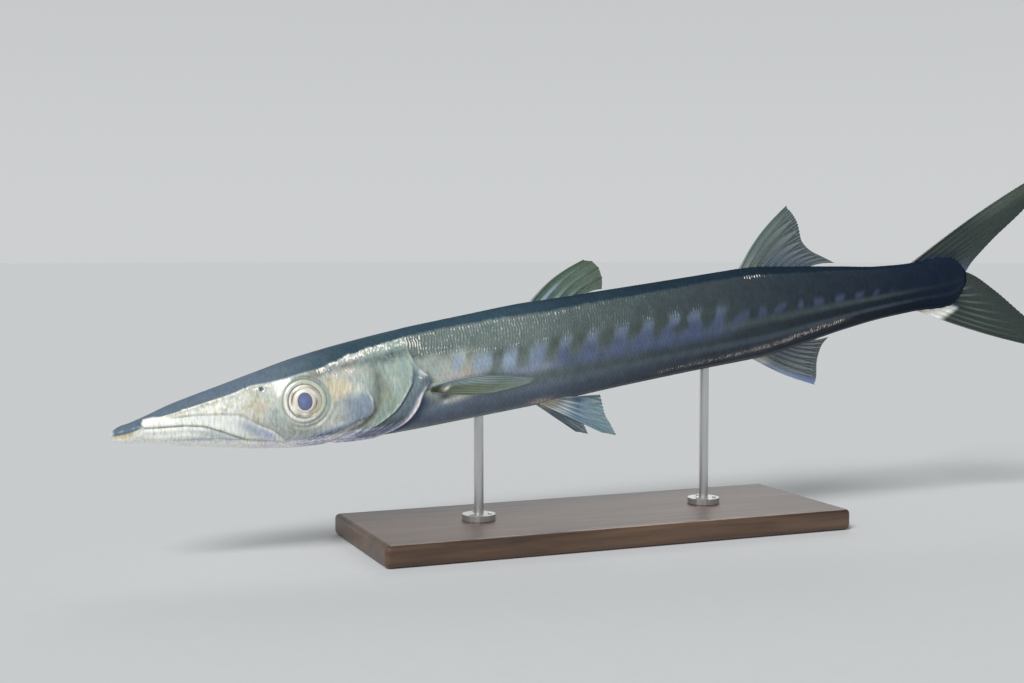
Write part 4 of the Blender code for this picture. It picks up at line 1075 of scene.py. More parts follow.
def ring_stations(step):
    """Ring stations: close together over the head, closest at the gill edge, wide apart over the scales."""
    first, last = HEAD_RINGS
    snout = first * np.linspace(0.08, 1.0, 16) ** 2
    head = np.arange(first + step, last, step)
    edge = GILL_RING + np.array([-0.0006, -0.0003, -0.0001, 0.0001, 0.0003, 0.0006])
    trunk = np.linspace(last, SKIN_END, 86)
    return np.unique(np.concatenate([snout, head, edge, trunk]))


def follow_features(base, turn):
    """Slide the grid so that it runs along the gill edge and the line of the mouth."""
    deg = np.degrees(folded(turn))
    pull = climb(base, 0.2, 0.085) * climb(base, 0.42, -0.115)
    station = base + (along(GILL_EDGE, deg) - GILL_RING) * pull
    lip_deg = np.degrees(side_turn(base, np.interp(base, [p[0] for p in LIP_LINE], [p[1] for p in LIP_LINE])))
    rest_deg = 110.0
    hold = climb(base, 0.012, 0.016) * climb(base, 0.235, -0.065)
    anchor = rest_deg + (lip_deg - rest_deg) * hold
    straight = deg / rest_deg
    moved = np.where(deg < rest_deg, straight * anchor, 180 - (180 - deg) / (180 - rest_deg) * (180 - anchor))
    signed = np.where(turn <= math.pi, moved, 360 - moved)
    return station, np.radians(signed)


def folded(turn):
    """A turn all the way round as the same turn from the back, whichever side it is on."""
    return np.abs((turn + math.pi) % (2 * math.pi) - math.pi)


def mesh_with_ends(points, quads, *fans):
    mesh = bpy.data.meshes.new("skin")
    faces = [*quads.tolist(), *np.concatenate(fans).tolist()]
    mesh.from_pydata(to_model(points).tolist(), [], faces)
    outside_out(mesh)
    mesh.shade_smooth()
    return mesh


class BARRACUDA_OT_skin(bpy.types.Operator):
    """Model the whole skin from snout to tail in one piece"""

    bl_idname = "barracuda.skin"
    bl_label = "Skin"

    def execute(self, context):
        sizes, kit = context.scene.barracuda_sizes, context.scene.barracuda_colors
        base = ring_stations(sizes.head_step / STANDARD_LENGTH)
        share = np.arange(sizes.rings_round) / sizes.rings_round
        station, turn = follow_features(base[:, None], share[None, :] * 2 * math.pi)
        spot = Spot(station, folded(turn))
        points = lifted(station, turn, relief(spot))
        color, spark, gloss = markings(spot, kit)
        nose = plain_skin(np.array([0.0]), np.array([0.0]))
        end = np.array([[SKIN_END, 0.0, section(SKIN_END)[3]]]) * STANDARD_LENGTH
        rows, columns = station.shape
        every = np.concatenate([points.reshape(-1, 3), nose, end])
        j = np.arange(columns)
        k = (j + 1) % columns
        tip, last, row = rows * columns, rows * columns + 1, (rows - 1) * columns
        quads = grid_faces(rows, columns, wrap=True)
        snout_fan = np.stack([0 * j + tip, k, j], -1)
        tail_fan = np.stack([0 * j + last, row + j, row + k], -1)
        mesh = mesh_with_ends(every, quads, snout_fan, tail_fan)
        store(mesh, "paint", np.concatenate([color.reshape(-1, 3), color[0, :1], color[-1, :1]]))
        for key, values in (("spark", spark), ("gloss", gloss), ("comb", 1 - spot.head)):
            store(mesh, key, np.concatenate([values.ravel(), values[0, :1], values[-1, :1]]))
        add_piece("skin", mesh, FLESH, skin_material("silver_skin_wet", kit, 0.55))
        return {"FINISHED"}


def scale_pitch(station, sizes):
    """Bare length of the scales at a station, as a share of the standard length."""
    return sizes.scale_length / STANDARD_LENGTH * np.interp(station, *zip(*SCALE_SHARES))


def scale_roots(sizes):
    """Stations and turns of the scales of one side, each row half a scale behind its neighbours."""
    stations = [FIRST_SCALE]
    while stations[-1] < 1.0:
        stations.append(stations[-1] + float(scale_pitch(stations[-1], sizes)))
    stations = np.array(stations)
    halfway = (stations[:-1] + stations[1:]) / 2
    s, turn = [], []
    for row in range(sizes.scale_rows):
        here = stations if row % 2 == 0 else halfway
        angle = np.full(len(here), math.pi * (row + 0.5) / sizes.scale_rows)
        bare = SCALES_BEHIND_GILL + BARE_THROAT * climb(np.degrees(angle), 98, 14)
        keep = (here > along(GILL_EDGE, np.degrees(angle)) + bare) & (here < LAST_SCALE)
        s.append(here[keep])
        turn.append(angle[keep])
    return np.concatenate(s), np.concatenate(turn)


def build_scales(name, side, sizes, kit, material):
    root_s, root_turn = scale_roots(sizes)
    rng = np.random.default_rng(7 if side > 0 else 11)
    count = len(root_s)
    row_pitch = math.pi / sizes.scale_rows
    lengthwise = np.array([-0.95, 0.1, 0.76, 1.0])
    half_width = np.array([0.9, 1.04, 0.98, 0.7])
    a = np.repeat(lengthwise, 4)
    c = (half_width[:, None] * np.linspace(-1.0, 1.0, 4)[None, :]).ravel()
    a = a - 0.16 * c * c * (a > 0.5)
    jitter = rng.normal(0.0, 0.03, (count, 1))
    s = root_s[:, None] + scale_pitch(root_s, sizes)[:, None] * (a[None, :] + jitter)
    s = np.minimum(s, SKIN_END - 0.001)
    turn = root_turn[:, None] + row_pitch * c[None, :]
    tilt = climb(a, -0.95, 1.95)
    crown = 0.00009 * (1 - c ** 2) * (a > -0.9)
    thin = np.interp(root_s, (0.3, 0.85, 1.0), (1.0, 0.75, 0.45))[:, None]
    rise = (-0.0002 + (sizes.scale_lift + 0.0002) * tilt[None, :] + crown[None, :]) * thin
    rise = rise + rng.normal(0.0, 0.00002, (count, 1)) * tilt[None, :]
    spot = Spot(s, np.clip(turn, 0.0, math.pi))
    points = lifted(s, side * np.clip(turn, -0.02, math.pi + 0.02), relief(spot) + rise)
    mesh = mesh_of(name, points.reshape(-1, 3), plate_faces(count, side), True, 40)
    tone = rng.uniform(0.0, 1.0, (count, 1))
    color, spark, gloss = markings(spot, kit)
    # Each scale is darker at its front and lighter at its hind rim: painted shade under the scale before it
    # and a painted glint on the rim; it is darker at its side edges too
    hind = climb(a, 0.45, 0.45)[None, :]
    edges = (np.abs(c) > 0.9)[None, :]
    color = color * (0.9 + 0.12 * (tone - 0.5) + 0.2 * hind - 0.08 * edges)[..., None]
    store(mesh, "paint", color.reshape(-1, 3))
    store(mesh, "spark", (spark * (0.7 + 0.3 * hind) * (0.75 + 0.4 * tone)).ravel())
    store(mesh, "gloss", gloss.ravel())
    store(mesh, "comb", np.ones(gloss.size))
    patch_half = 0.0013
    patch_s = np.repeat(root_s, len(a)) + np.tile(a, count) * patch_half
    patch_turn = np.repeat(root_turn / math.pi, len(a)) + np.tile(c, count) * patch_half
    store_map(mesh, "OFBake", np.stack([patch_s, patch_turn], -1))
    add_piece(name, mesh, (), material)


def plate_faces(count, side):
    """A thin closed plate for each scale: a curved top, and a bottom on the same rim."""
    top = grid_faces(4, 4)
    rim = [0, 1, 2, 3, 7, 11, 15, 14, 13, 12, 8, 4]
    upper = np.concatenate([top[:, [0, 1, 2]], top[:, [0, 2, 3]]])
    lower = np.array([(rim[0], rim[i + 1], rim[i]) for i in range(1, len(rim) - 1)])
    plate = np.concatenate([upper, lower])[:, ::-side]
    return (plate[None, :, :] + 16 * np.arange(count)[:, None, None]).reshape(-1, 3)


class BARRACUDA_OT_scales(bpy.types.Operator):
    """Lay the overlapping scales over the body, each side in one piece"""

    bl_idname = "barracuda.scales"
    bl_label = "Scales"

    def execute(self, context):
        sizes, kit = context.scene.barracuda_sizes, context.scene.barracuda_colors
        material = skin_material("silver_scales", kit, 0.3)
        for side, word in SIDES:
            build_scales(f"scales_{word}", side, sizes, kit, material)
        return {"FINISHED"}


def eye_frame(side):
    """A frame on the skin whose Z points straight out of the eye, in the fish's frame."""
    turn = side * side_turn(EYE_STATION, EYE_HEIGHT)
    at = lifted(np.array(EYE_STATION), np.array(turn), -EYE_SINK)
    normal = outward(np.array(EYE_STATION), np.array(turn))
    across = np.cross((0.0, 0.0, 1.0), normal)
    across /= np.linalg.norm(across)
    matrix = np.eye(4)
    matrix[:3, 0], matrix[:3, 1], matrix[:3, 2], matrix[:3, 3] = across, np.cross(normal, across), normal, at
    return Matrix(matrix.tolist())


def arcs(way):
    """Soft masks of arcs round the eye, by the middle and the half width of each in degrees."""
    return lambda middle, half: bump((way - middle + 180) % 360, 180, half)


def start_clean():
    """Leave edit mode and select nothing."""
    if bpy.context.object and bpy.context.object.mode != "OBJECT":
        bpy.ops.object.mode_set(mode="OBJECT")
    bpy.ops.object.select_all(action="DESELECT")


def finish_piece(name, nodes, material):
    """Name the active object, fix its place in its mesh and give it its finish."""
    thing = bpy.context.object
    bpy.ops.object.transform_apply(location=True, rotation=True, scale=True)
    thing.name = name
    thing.data.name = name
    thing.data.materials.clear()
    thing.data.materials.append(material)
    declare(thing, nodes)


def build_eyeball(name, side, inset, material, nodes, kit):
    start_clean()
    bpy.ops.mesh.primitive_uv_sphere_add(segments=160, ring_count=120, radius=1.0)
    ball = bpy.context.object
    bpy.ops.object.mode_set(mode="EDIT")
    bpy.ops.mesh.select_all(action="SELECT")
    radius, depth = EYE_RADIUS - inset, EYE_DEPTH - inset
    bpy.ops.transform.resize(value=(radius, radius, depth))
    bpy.ops.object.mode_set(mode="OBJECT")
    if kit:
        flat = np.array([v.co[:] for v in ball.data.vertices])
        front = flat[:, 2] > 0
        pupil_reach = np.hypot(flat[:, 0] / PUPIL_HALF[0], flat[:, 1] / PUPIL_HALF[1])
        flat[:, 2] -= 0.0005 * front * climb(pupil_reach, 1.1, -0.16)
        flat[:, 2] -= 0.0004 * front * bump(np.hypot(flat[:, 0], flat[:, 1]), 0.0094, 0.001)
        ball.data.vertices.foreach_set("co", flat.astype(np.float32).ravel())
        store(ball.data, "paint", iris_paint(flat[:, 0] * side * 1000, flat[:, 1] * 1000, kit))
    ball.data.shade_smooth()
    ball.matrix_world = POSE @ eye_frame(side)
    finish_piece(name, nodes, material)


def iris_paint(x, y, kit):
    """Colours of the eyeball, with painted highlights, at places in millimetres towards the tail and up from
    the pupil's middle.
    """
    reach = np.hypot(x, y)
    speck = mottle(x * 2.2, y * 2.2, 5)
    arc = arcs(np.degrees(np.arctan2(y, -x)))

    def ring(radius, half):
        return bump(reach, radius, half)

    def dot(at_x, at_y, wide, high):
        return np.exp(-np.square((x - at_x) / wide) - np.square((y - at_y) / high))

    paint = Paint(x.shape, kit, "iris")
    lay = paint.lay
    lay("iris_brown", 1.0 * ring(10.2, 1.0) * arc(18, 36) + 0.85 * ring(11.3, 1.0) * arc(55, 30))
    lay("iris_brown", 1.0 * ring(9.4, 0.9) * arc(-165, 40) + 0.85 * ring(11.6, 0.8) * arc(128, 30))
    lay("shade", 0.45 * ring(12.9, 0.5) * (arc(40, 45) + arc(-60, 30) + arc(125, 30)))
    gleam = 0.5 * ring(12.2, 0.8) * arc(150, 22)
    lay("lilac", 0.55 * dot(-13.2, 0.2, 0.9, 2.0) + 0.5 * dot(-5.0, 7.6, 1.6, 1.2) + gleam)
    lay("rose_gold", 0.5 * ring(11.2, 1.2) * arc(170, 30))
    lay("gold", 0.6 * ring(10.4, 1.5) * arc(-128, 26))
    lay("white", 1.0 * dot(-9.6, -4.4, 2.2, 3.2) + 0.9 * ring(11.6, 0.6) * arc(8, 26))
    # The white arc just above the pupil is a painted highlight
    lay("white", 0.9 * ring(8.3, 0.5) * arc(84, 26) + 0.9 * ring(9.3, 0.6) * arc(146, 24))
    lay("white", 0.6 * ring(12.4, 0.8) * arc(92, 26) + 0.6 * ring(12.6, 0.8) * arc(-112, 34))
    lay("mauve", 0.75 * dot(-5.8, -10.2, 2.2, 1.7) + 0.55 * dot(3.0, -9.6, 1.8, 1.0))
    # Painted highlight: the white notch just below the pupil
    lay("white", 1.0 * dot(-0.8, -8.6, 2.8, 0.9) + 0.9 * dot(-1.4, -10.0, 1.2, 1.2))
    paint.shade(1 + 0.2 * (speck - 0.5))
    pupil_reach = np.hypot(x / PUPIL_HALF[0], y / PUPIL_HALF[1]) / 1000
    pupil = Paint(x.shape, kit, "pupil")
    pupil.lay("pupil_light", 0.8 * dot(-1.4, 0.6, 2.0, 2.2))
    pupil.lay("violet", 0.5 * dot(-2.2, -4.2, 2.4, 1.8))
    pupil.lay("pupil_rim", 0.85 * climb(pupil_reach, 0.84, 0.14))
    inside = climb(pupil_reach, 1.03, -0.05)[..., None]
    return paint.color * (1 - inside) + pupil.color * inside


def iris_material():
    shader = Shader("golden_iris")
    spokes = shader.noise(shader.place(), 900.0, 3.0, 0.6)
    color = shader.toned(shader.attribute("paint", "Color"), 0.93 + spokes * 0.14)
    shader.set(Base_Color=color, Metallic=0.1, Roughness=0.34 + spokes * 0.06)
    shader.set(Normal=shader.bumped(spokes, 0.0001, 0.4), Coat_Weight=0.4, Coat_Roughness=0.08)
    return shader.material


def cornea_material():
    shader = Shader("clear_cornea")
    speck = shader.noise(shader.place(), 500.0, 2.0)
    shader.set(Base_Color=(0.8, 0.84, 0.88), Roughness=0.03 + speck * 0.02, Alpha=0.07, Coat_Weight=0.6)
    shader.set(Coat_Roughness=0.02)
    return shader.material


def build_eye_rim(name, side, kit, material):
    """The clear fatty rim: rolls of skin round the eye that settle into the cheek."""
    reach, high = np.array(EYE_ROLLS).T
    angle = np.linspace(0.0, 2 * math.pi, 160, endpoint=False)
    r = reach[:, None] * 0.001 / STANDARD_LENGTH
    station = EYE_STATION + r * np.cos(angle)[None, :]
    height = EYE_HEIGHT + r * np.sin(angle)[None, :]
    turn = side_turn(station, height)
    spot = Spot(station, turn)
    spot.from_eye = spot.from_eye + 1.0
    under = relief(spot) * climb(reach[:, None], 13, 8)
    points = lifted(station, side * turn, under + high[:, None] * 0.001)
    color, spark, gloss = markings(spot, kit)
    out = reach[:, None] * np.ones(station.shape)
    arc = arcs(np.degrees(np.arctan2(np.sin(angle), -np.cos(angle)))[None, :])
    pale = Paint(station.shape, kit, "cheek")
    pale.color = color.copy()
    lay = pale.lay
    ring = climb(out, 21.5, -4.0)
    lay("eye_ring", 0.85 * ring)
    lay("opercle", 0.8 * ring * arc(180, 60) * climb(out, 15.5, 2))
    lay("cover_shade", 0.6 * ring * arc(95, 50) * climb(out, 16.0, 2))
    # Painted highlight: the cream-white arc on the pale ring, at its front and lower front
    lay("white", 0.95 * bump(out, 14.9, 1.3) * (arc(-15, 55) + 0.6 * arc(-70, 45)))
    lay("lilac", 0.5 * bump(out, 15.4, 1.2) * arc(-95, 35))
    lay("gold", 0.6 * bump(out, 13.6, 0.9) * (arc(-130, 50) + 0.7 * arc(95, 60)))
    lay("iris_brown", 0.75 * bump(out, 13.0, 0.5))
    lay("shade", 0.55 * bump(out, 17.0, 0.55) * (1 - 0.4 * arc(0, 50)))
    lay("shade", 0.45 * bump(out, 19.2, 0.8) * (arc(110, 70) + 0.5 * arc(-100, 50)))
    faces = grid_faces(*station.shape, wrap=True)
    if side > 0:
        faces = faces[:, ::-1]
    mesh = mesh_of(name, points.reshape(-1, 3), faces)
    store(mesh, "paint", pale.color.reshape(-1, 3))
    store(mesh, "spark", spark.ravel() * climb(out.ravel(), 19, 3))
    store(mesh, "gloss", gloss.ravel() * 0.8)
    add_piece(name, mesh, (), material)


class BARRACUDA_OT_eyes(bpy.types.Operator):
    """Model both eyes, each with its iris, pupil and clear front"""

    bl_idname = "barracuda.eyes"
    bl_label = "Eyes"

    def execute(self, context):
        kit = context.scene.barracuda_colors
        iris, clear, rim = iris_material(), cornea_material(), skin_material("eye_rim_skin", kit, 0.4)
        for side, word in SIDES:
            build_eyeball(f"eyeball_{word}", side, CLEAR_FRONT, iris, (f"eye_{word}",), kit)
            build_eyeball(f"cornea_{word}", side, 0.0, clear, (), None)
            build_eye_rim(f"eye_rim_{word}", side, kit, rim)
        return {"FINISHED"}


def ray_profile(ray_place, share, branch):
    """How much of a ray stands at a place across and along a fin, from 0 in the web to 1 on a ray."""
    off = ray_place - np.round(ray_place)
    spread = 0.25 * climb(share, 0.4, 0.6) * branch
    split = 0.12 * climb(share, 0.68, 0.32) * branch
    width = 0.26 - 0.13 * share
    width = width * (1 - 0.45 * branch * climb(share, 0.4, 0.5))
    ridge = np.zeros(np.broadcast(off, share).shape)
    for outer in (-1, 1):
        for inner in (-1, 1):
            gap = (off - outer * spread - inner * split) / width
            ridge = np.maximum(ridge, np.sqrt(np.clip(1 - gap * gap, 0.0, 1.0)))
    return ridge


def build_fin(name, node, sheet_of, rays, painted, rows=64, fine=12, branch=1.0):
    """A fin: a thin web with a ray raised in both its faces at each whole number of ray places.

    sheet_of gives points of the middle of the web and the way it is thick, for shares across and along.
    painted lays the colours on and gives the clearness of the web, by ray place, share along and ridge.
    """
    kit, web_half = bpy.context.scene.barracuda_colors, bpy.context.scene.barracuda_sizes.web_half
    across = np.linspace(0.0, 1.0, (rays - 1) * fine + 1)[None, :]
    share = np.linspace(0.0, 1.0, rows)[:, None]
    place = across * (rays - 1)
    stiff = branch * np.where(place < 0.5, 0.0, 1.0)
    ridge = ray_profile(place, share, stiff)
    fringe = 1 - 0.014 * (1 - ridge[-1:, :])
    middle, normal = sheet_of(across, share * fringe)
    lead = bump(place, 0, 0.45)
    tip = np.sqrt(np.clip(1.02 - share ** 6, 0.0, 1.0))
    thick = RAY_HALF_THICK * (0.85 + 0.35 * lead) * (1 - 0.8 * share) * tip
    joints = 1 - 0.07 * (np.sin(share * 2 * math.pi * 26) > 0.55) * (share > 0.35)
    half = web_half * (1.6 - share) + ridge * thick * joints
    root_swell = 0.0006 * bump(share, 0, 0.05)
    offset = normal * (half + root_swell)[..., None]
    front, back = middle + offset, middle - offset
    columns = half.shape[1]
    points = np.concatenate([front.reshape(-1, 3), back.reshape(-1, 3)])
    far = rows * columns
    faces = grid_faces(rows, columns)
    rim = [*range(columns), *(i * columns + columns - 1 for i in range(1, rows))]
    rim += [(rows - 1) * columns + j for j in range(columns - 2, -1, -1)]
    rim += [i * columns for i in range(rows - 2, 0, -1)]
    rim = np.array(rim)
    ahead = np.roll(rim, -1)
    sides = np.stack([rim, far + rim, far + ahead, ahead], -1)
    mesh = mesh_of(name, points, np.concatenate([faces, far + faces[:, ::-1], sides]), True, 50)
    outside_out(mesh)
    mesh.shade_smooth()
    paint, clear = painted(kit, place * np.ones(half.shape), share * np.ones(half.shape), ridge)
    clear = clear * (1 - 0.6 * lead) * (1 - 0.6 * bump(share, 0, 0.06))
    store(mesh, "paint", np.tile(paint.color.reshape(-1, 3), (2, 1)))
    store(mesh, "ray", np.tile(np.maximum(ridge, lead).ravel(), 2))
    store(mesh, "clear", np.tile(clear.ravel(), 2))
    add_piece(name, mesh, (node,), bpy.data.materials.get(FIN_FINISH) or fin_material(FIN_FINISH))


def first_dorsal_paint(kit, place, share, ridge):
    paint = Paint(ridge.shape, kit, "spine_web")
    lay = paint.lay
    lay("notch", 0.3 * mottle(place * 3.0, share * 2.5, 14) * climb(share, 0.25, 0.3))
    near_spine = bump(place, np.round(place), 0.2)
    lay("spine", 0.8 * np.maximum(ridge, 0.6 * near_spine) * climb(share, 0.95, -0.35))
    white = climb(share, 0.52, -0.34) * bump(place, 1.0, 0.55)
    lay("patch", 0.85 * near_spine * white)
    lay("patch", 0.4 * near_spine * climb(share, 0.35, -0.3) * climb(place, 3.4, -1.0))
    lay("brown", 0.65 * climb(share, 0.66, 0.3) * (0.55 + 0.45 * (1 - near_spine)))
    lay("brown", 0.4 * bump(place, 3.3, 0.35) * climb(share, 0.2, 0.3))
    return paint, 0.2 + 0.12 * share


def soft_fin_paint(kit, place, share, ridge, gleam, foot):
    """A clear blue-green web with olive rays; gleam lights the leading edge and foot the root."""
    paint = Paint(ridge.shape, kit, "soft_web")
    lay = paint.lay
    lay("soft_ray", 0.5 * ridge * climb(place, 5, -3) * climb(share, 1.1, -0.6))
    lay("blue_ray", 0.34 * ridge * climb(place, 1.5, 2) * climb(share, 0.8, -0.5))
    lead = bump(place, 0.2, 0.8)
    lay("soft_ray", 0.65 * lead * (1 - gleam))
    lay("blue_ray", gleam * lead)
    lay("patch", gleam * lead * climb(share, 0.95, -0.7))
    lay("white", foot * bump(share, 0.12, 0.12) * climb(place, 2.4, -2))
    lay("gold", foot * bump(share, 0, 0.1) * climb(place, 4, -3))
    lay("soft_web", 0.4 * climb(share, 0.75, 0.25) * (1 - gleam))
    return paint, 0.3 + 0.22 * share


def tail_paint(kit, place, share, ridge, up):
    paint = Paint(ridge.shape, kit, "tail_web")
    lay = paint.lay
    lay("tail_ray", 0.75 * ridge)
    inner = climb(place, 6, 4)
    # Painted shade: the dark navy of the tail stem runs onto the roots of the fin
    lay("tail_stem", 0.9 * climb(0.1 + 0.02 * place, share, 0.12))
    if up:
        lay("blue_ray", 0.35 * inner * climb(share, 0.2, 0.3))
        lay("spine", 0.3 * climb(place, 3, -2) * climb(share, 0.3, 0.3))
    else:
        wedge = climb(place, 4.0, -1.2) * smooth_step((0.17 - share - 0.022 * place) / 0.06 + 0.5)
        lay("white", 0.92 * wedge)
        lay("rose_gold", 0.5 * wedge * climb(place, 1.2, -1.0) * climb(share, 0.08, -0.06))
        lay("violet", 0.7 * wedge * climb(place, 2.6, 1.0))
        lay("spine", 0.4 * ridge * bump(share, 0.34, 0.2))
    paint.shade(1 - 0.25 * climb(share, 0.6, 0.4))
    return paint, 0.1 + 0.1 * share


def pectoral_paint(kit, place, share, ridge):
    specks = mottle(place * 1.7, share * 22, 9)
    paint = Paint(ridge.shape, kit, "pectoral_web")
    lay = paint.lay
    low = climb(place, 3.2, 3)
    lay("sea_silver", 0.45 * (1 - low) * climb(share, 0.8, -0.5))
    lay("patch", 0.45 * climb(specks, 0.58, 0.2) * (1 - low) * climb(share, 0.75, -0.3))
    lay("pectoral_olive", 0.85 * low * (0.75 + 0.25 * ridge) * (1 - 0.45 * climb(share, 0.5, 0.4)))
    lay("sea_silver", 0.22 * ridge * (1 - low))
    lay("brown", 0.8 * bump(share, 0.07, 0.07) * climb(place, 1.5, 2))
    lay("rose_gold", 0.55 * bump(share, 0.13, 0.03) * bump(place, 6, 2.2))
    lay("white", 0.9 * bump(share, 0.18, 0.025) * bump(place, 6.5, 2.5))
    lay("sea_silver", 0.8 * bump(share, 0, 0.1) * climb(place, 2.5, -2))
    lay("notch", 0.55 * climb(place, 9.8, 1.0))
    return paint, 0.08 + 0.2 * (1 - low) * share


def pelvic_paint(kit, place, share, ridge):
    paint = Paint(ridge.shape, kit, "belly_web")
    lay = paint.lay
    lay("blue_ray", 0.55 * bump(share, 0.42, 0.26) * (0.35 + 0.65 * ridge))
    lay("soft_web", 0.35 * bump(place - np.floor(place), 0.5, 0.22) * climb(share, 0.2, 0.2))
    lay("patch", 0.55 * ridge * bump(share, 0.36, 0.3))
    lay("white", 0.6 * bump(share, 0.24, 0.14) * (0.35 + 0.65 * ridge))
    lay("patch", 0.9 * bump(place, 0, 0.4) * climb(share, 0.85, -0.4))
    lay("white", 0.9 * bump(place, 0, 0.38) * climb(share, 0.48, -0.3))
    lay("gold", 0.75 * bump(share, 0.06, 0.08))
    return paint, 0.16 + 0.4 * climb(share, 0.25, 0.7)


def upright_sheet(form):
    """The middle sheet of an upright fin on the back or under the belly."""
    origin, end, up, _, bow, angles, lengths = form
    known = np.linspace(0.0, 1.0, len(angles))

    def sheet(across, share):
        station = origin + (end - origin) * across
        edge = section(station)[0 if up > 0 else 1]
        angle = np.radians(smooth_curve(known, angles, across))
        length = smooth_curve(known, lengths, across)
        root = np.stack([station, 0 * station, edge - up * 0.0012 / STANDARD_LENGTH], axis=-1)
        reach = np.stack([np.cos(angle), 0 * angle, up * np.sin(angle)], axis=-1) * length[..., None]
        aside = np.stack([-reach[..., 2], 0 * angle, reach[..., 0]], axis=-1)
        share = share[..., None]
        middle = root + reach * share + up * bow * aside * np.sin(math.pi * share)
        return middle * STANDARD_LENGTH, np.array([0.0, 1.0, 0.0])

    return sheet


class BARRACUDA_OT_upright_fins(bpy.types.Operator):
    """Model both fins of the back and the anal fin"""

    bl_idname = "barracuda.upright_fins"
    bl_label = "Upright fins"

    def execute(self, context):
        first, second, anal = upright_sheet(FIRST_DORSAL), upright_sheet(SECOND_DORSAL), upright_sheet(ANAL)
        build_fin("first_dorsal", "first_dorsal_fin", first, 5, first_dorsal_paint, fine=16, branch=0.0)
        dull = partial(soft_fin_paint, gleam=0.12, foot=0.08)
        bright = partial(soft_fin_paint, gleam=0.9, foot=0.6)
        build_fin("second_dorsal", "second_dorsal_fin", second, 10, dull)
        build_fin("anal", "anal_fin", anal, 10, bright)
        return {"FINISHED"}


def lobe_sheet(edge, up, margin):
    """The middle sheet of one lobe of the tail fin."""
    wrap = 0.36

    def sheet(across, share):
        station = np.interp(across, (0.0, wrap, 1.0), (LOBE_FIRST_ROOT, LOBE_LAST_ROOT, LOBE_LAST_ROOT))
        corner = section(LOBE_LAST_ROOT)[edge]
        inner = np.interp(across, (wrap, 1.0), (corner, FORK_ROOT_HEIGHT))
        height = np.where(across < wrap, section(station)[edge] - up * 0.001, inner)
        root = np.stack([station, 0 * station, height], axis=-1)
        ends = through(margin, across)
        tip = np.stack([ends[..., 0], 0 * station, ends[..., 1]], axis=-1)
        run = tip - root
        aside = np.stack([-run[..., 2], 0 * station, run[..., 0]], axis=-1)
        share = share[..., None]
        middle = root + run * share + up * LOBE_BOW * aside * np.sin(math.pi * share)
        return middle * STANDARD_LENGTH, np.array([0.0, 1.0, 0.0])

    return sheet


class BARRACUDA_OT_tail_fin(bpy.types.Operator):
    """Model the two lobes of the tail fin"""

    bl_idname = "barracuda.tail_fin"
    bl_label = "Tail fin"

    def execute(self, context):
        for word, edge, up, margin in (("upper", 0, 1, UPPER_LOBE), ("lower", 1, -1, LOWER_LOBE)):
            sheet, painted = lobe_sheet(edge, up, margin), partial(tail_paint, up=up > 0)
            build_fin(f"tail_{word}", f"tail_fin_{word}", sheet, 11, painted, rows=84)
        return {"FINISHED"}


def pectoral_sheet(side):
    """The middle sheet of the fin that lies back along the flank."""

    def sheet(across, share):
        root, tip = through(PECTORAL_ROOT, across), through(PECTORAL_TIPS, across)
        arch = PECTORAL_ARCH * np.sin(math.pi * share) * (1 - PECTORAL_ARCH_FADE * across)
        station = root[..., 0] + (tip[..., 0] - root[..., 0]) * share
        height = root[..., 1] + (tip[..., 1] - root[..., 1]) * share + arch
        turn = side * side_turn(station, height)
        lift = -0.0004 + (PECTORAL_FLARE + 0.0012) * share + 0.0008 * np.sin(math.pi * share)
        return lifted(station, turn, lift), outward(station, turn)

    return sheet


def pelvic_sheet(side):
    """The middle sheet of a fin that hangs from the belly."""

    def sheet(across, share):
        root = through(PELVIC_ROOT, across)
        shift = (0.0, 0.0, 0.0) if side > 0 else RIGHT_PELVIC_SHIFT
        tip = (through(PELVIC_TIPS, across) + shift) * STANDARD_LENGTH * (1, side, 1)
        roots = lifted(root[..., 0], side * np.radians(root[..., 1]), np.full(across.shape, -0.0006))
        cup = 0.0022 * np.sin(math.pi * across) * share
        first, last = tip[0, 0] - roots[0, 0], tip[0, -1] - roots[0, 0]
        normal = np.cross(first, last)
        normal /= np.linalg.norm(normal)
        return roots + (tip - roots) * share[..., None] + normal * (side * cup)[..., None], normal

    return sheet


class BARRACUDA_OT_paired_fins(bpy.types.Operator):
    """Model the pectoral and pelvic fins on both sides"""

    bl_idname = "barracuda.paired_fins"
    bl_label = "Paired fins"

    def execute(self, context):
        for side, word in SIDES:
            pectoral, pelvic = pectoral_sheet(side), pelvic_sheet(side)
            build_fin(f"pectoral_{word}", f"pectoral_fin_{word}", pectoral, 12, pectoral_paint, 60, 10)
            build_fin(f"pelvic_{word}", f"pelvic_fin_{word}", pelvic, 6, pelvic_paint, 56, 14)
        return {"FINISHED"}


def add_screws(rod, steel):
    low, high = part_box(rod)
    centre = (low + high) / 2
    top = low.z + 0.005
    for number in range(3):
        angle = 2 * math.pi * number / 3 + math.pi / 2
        spot = (centre.x + 0.0095 * math.cos(angle), centre.y + 0.0095 * math.sin(angle), top + 0.0003)
        start_clean()
        bpy.ops.mesh.primitive_cylinder_add(vertices=24, radius=0.0018, depth=0.0014, location=spot)
        bpy.ops.object.mode_set(mode="EDIT")
        bpy.ops.mesh.select_all(action="SELECT")
        bpy.ops.mesh.bevel(offset=0.0004, segments=2, affect="EDGES")
        bpy.ops.object.mode_set(mode="OBJECT")
        bpy.context.object.data.shade_smooth()
        finish_piece(f"{rod}_screw_{number}", (), steel)


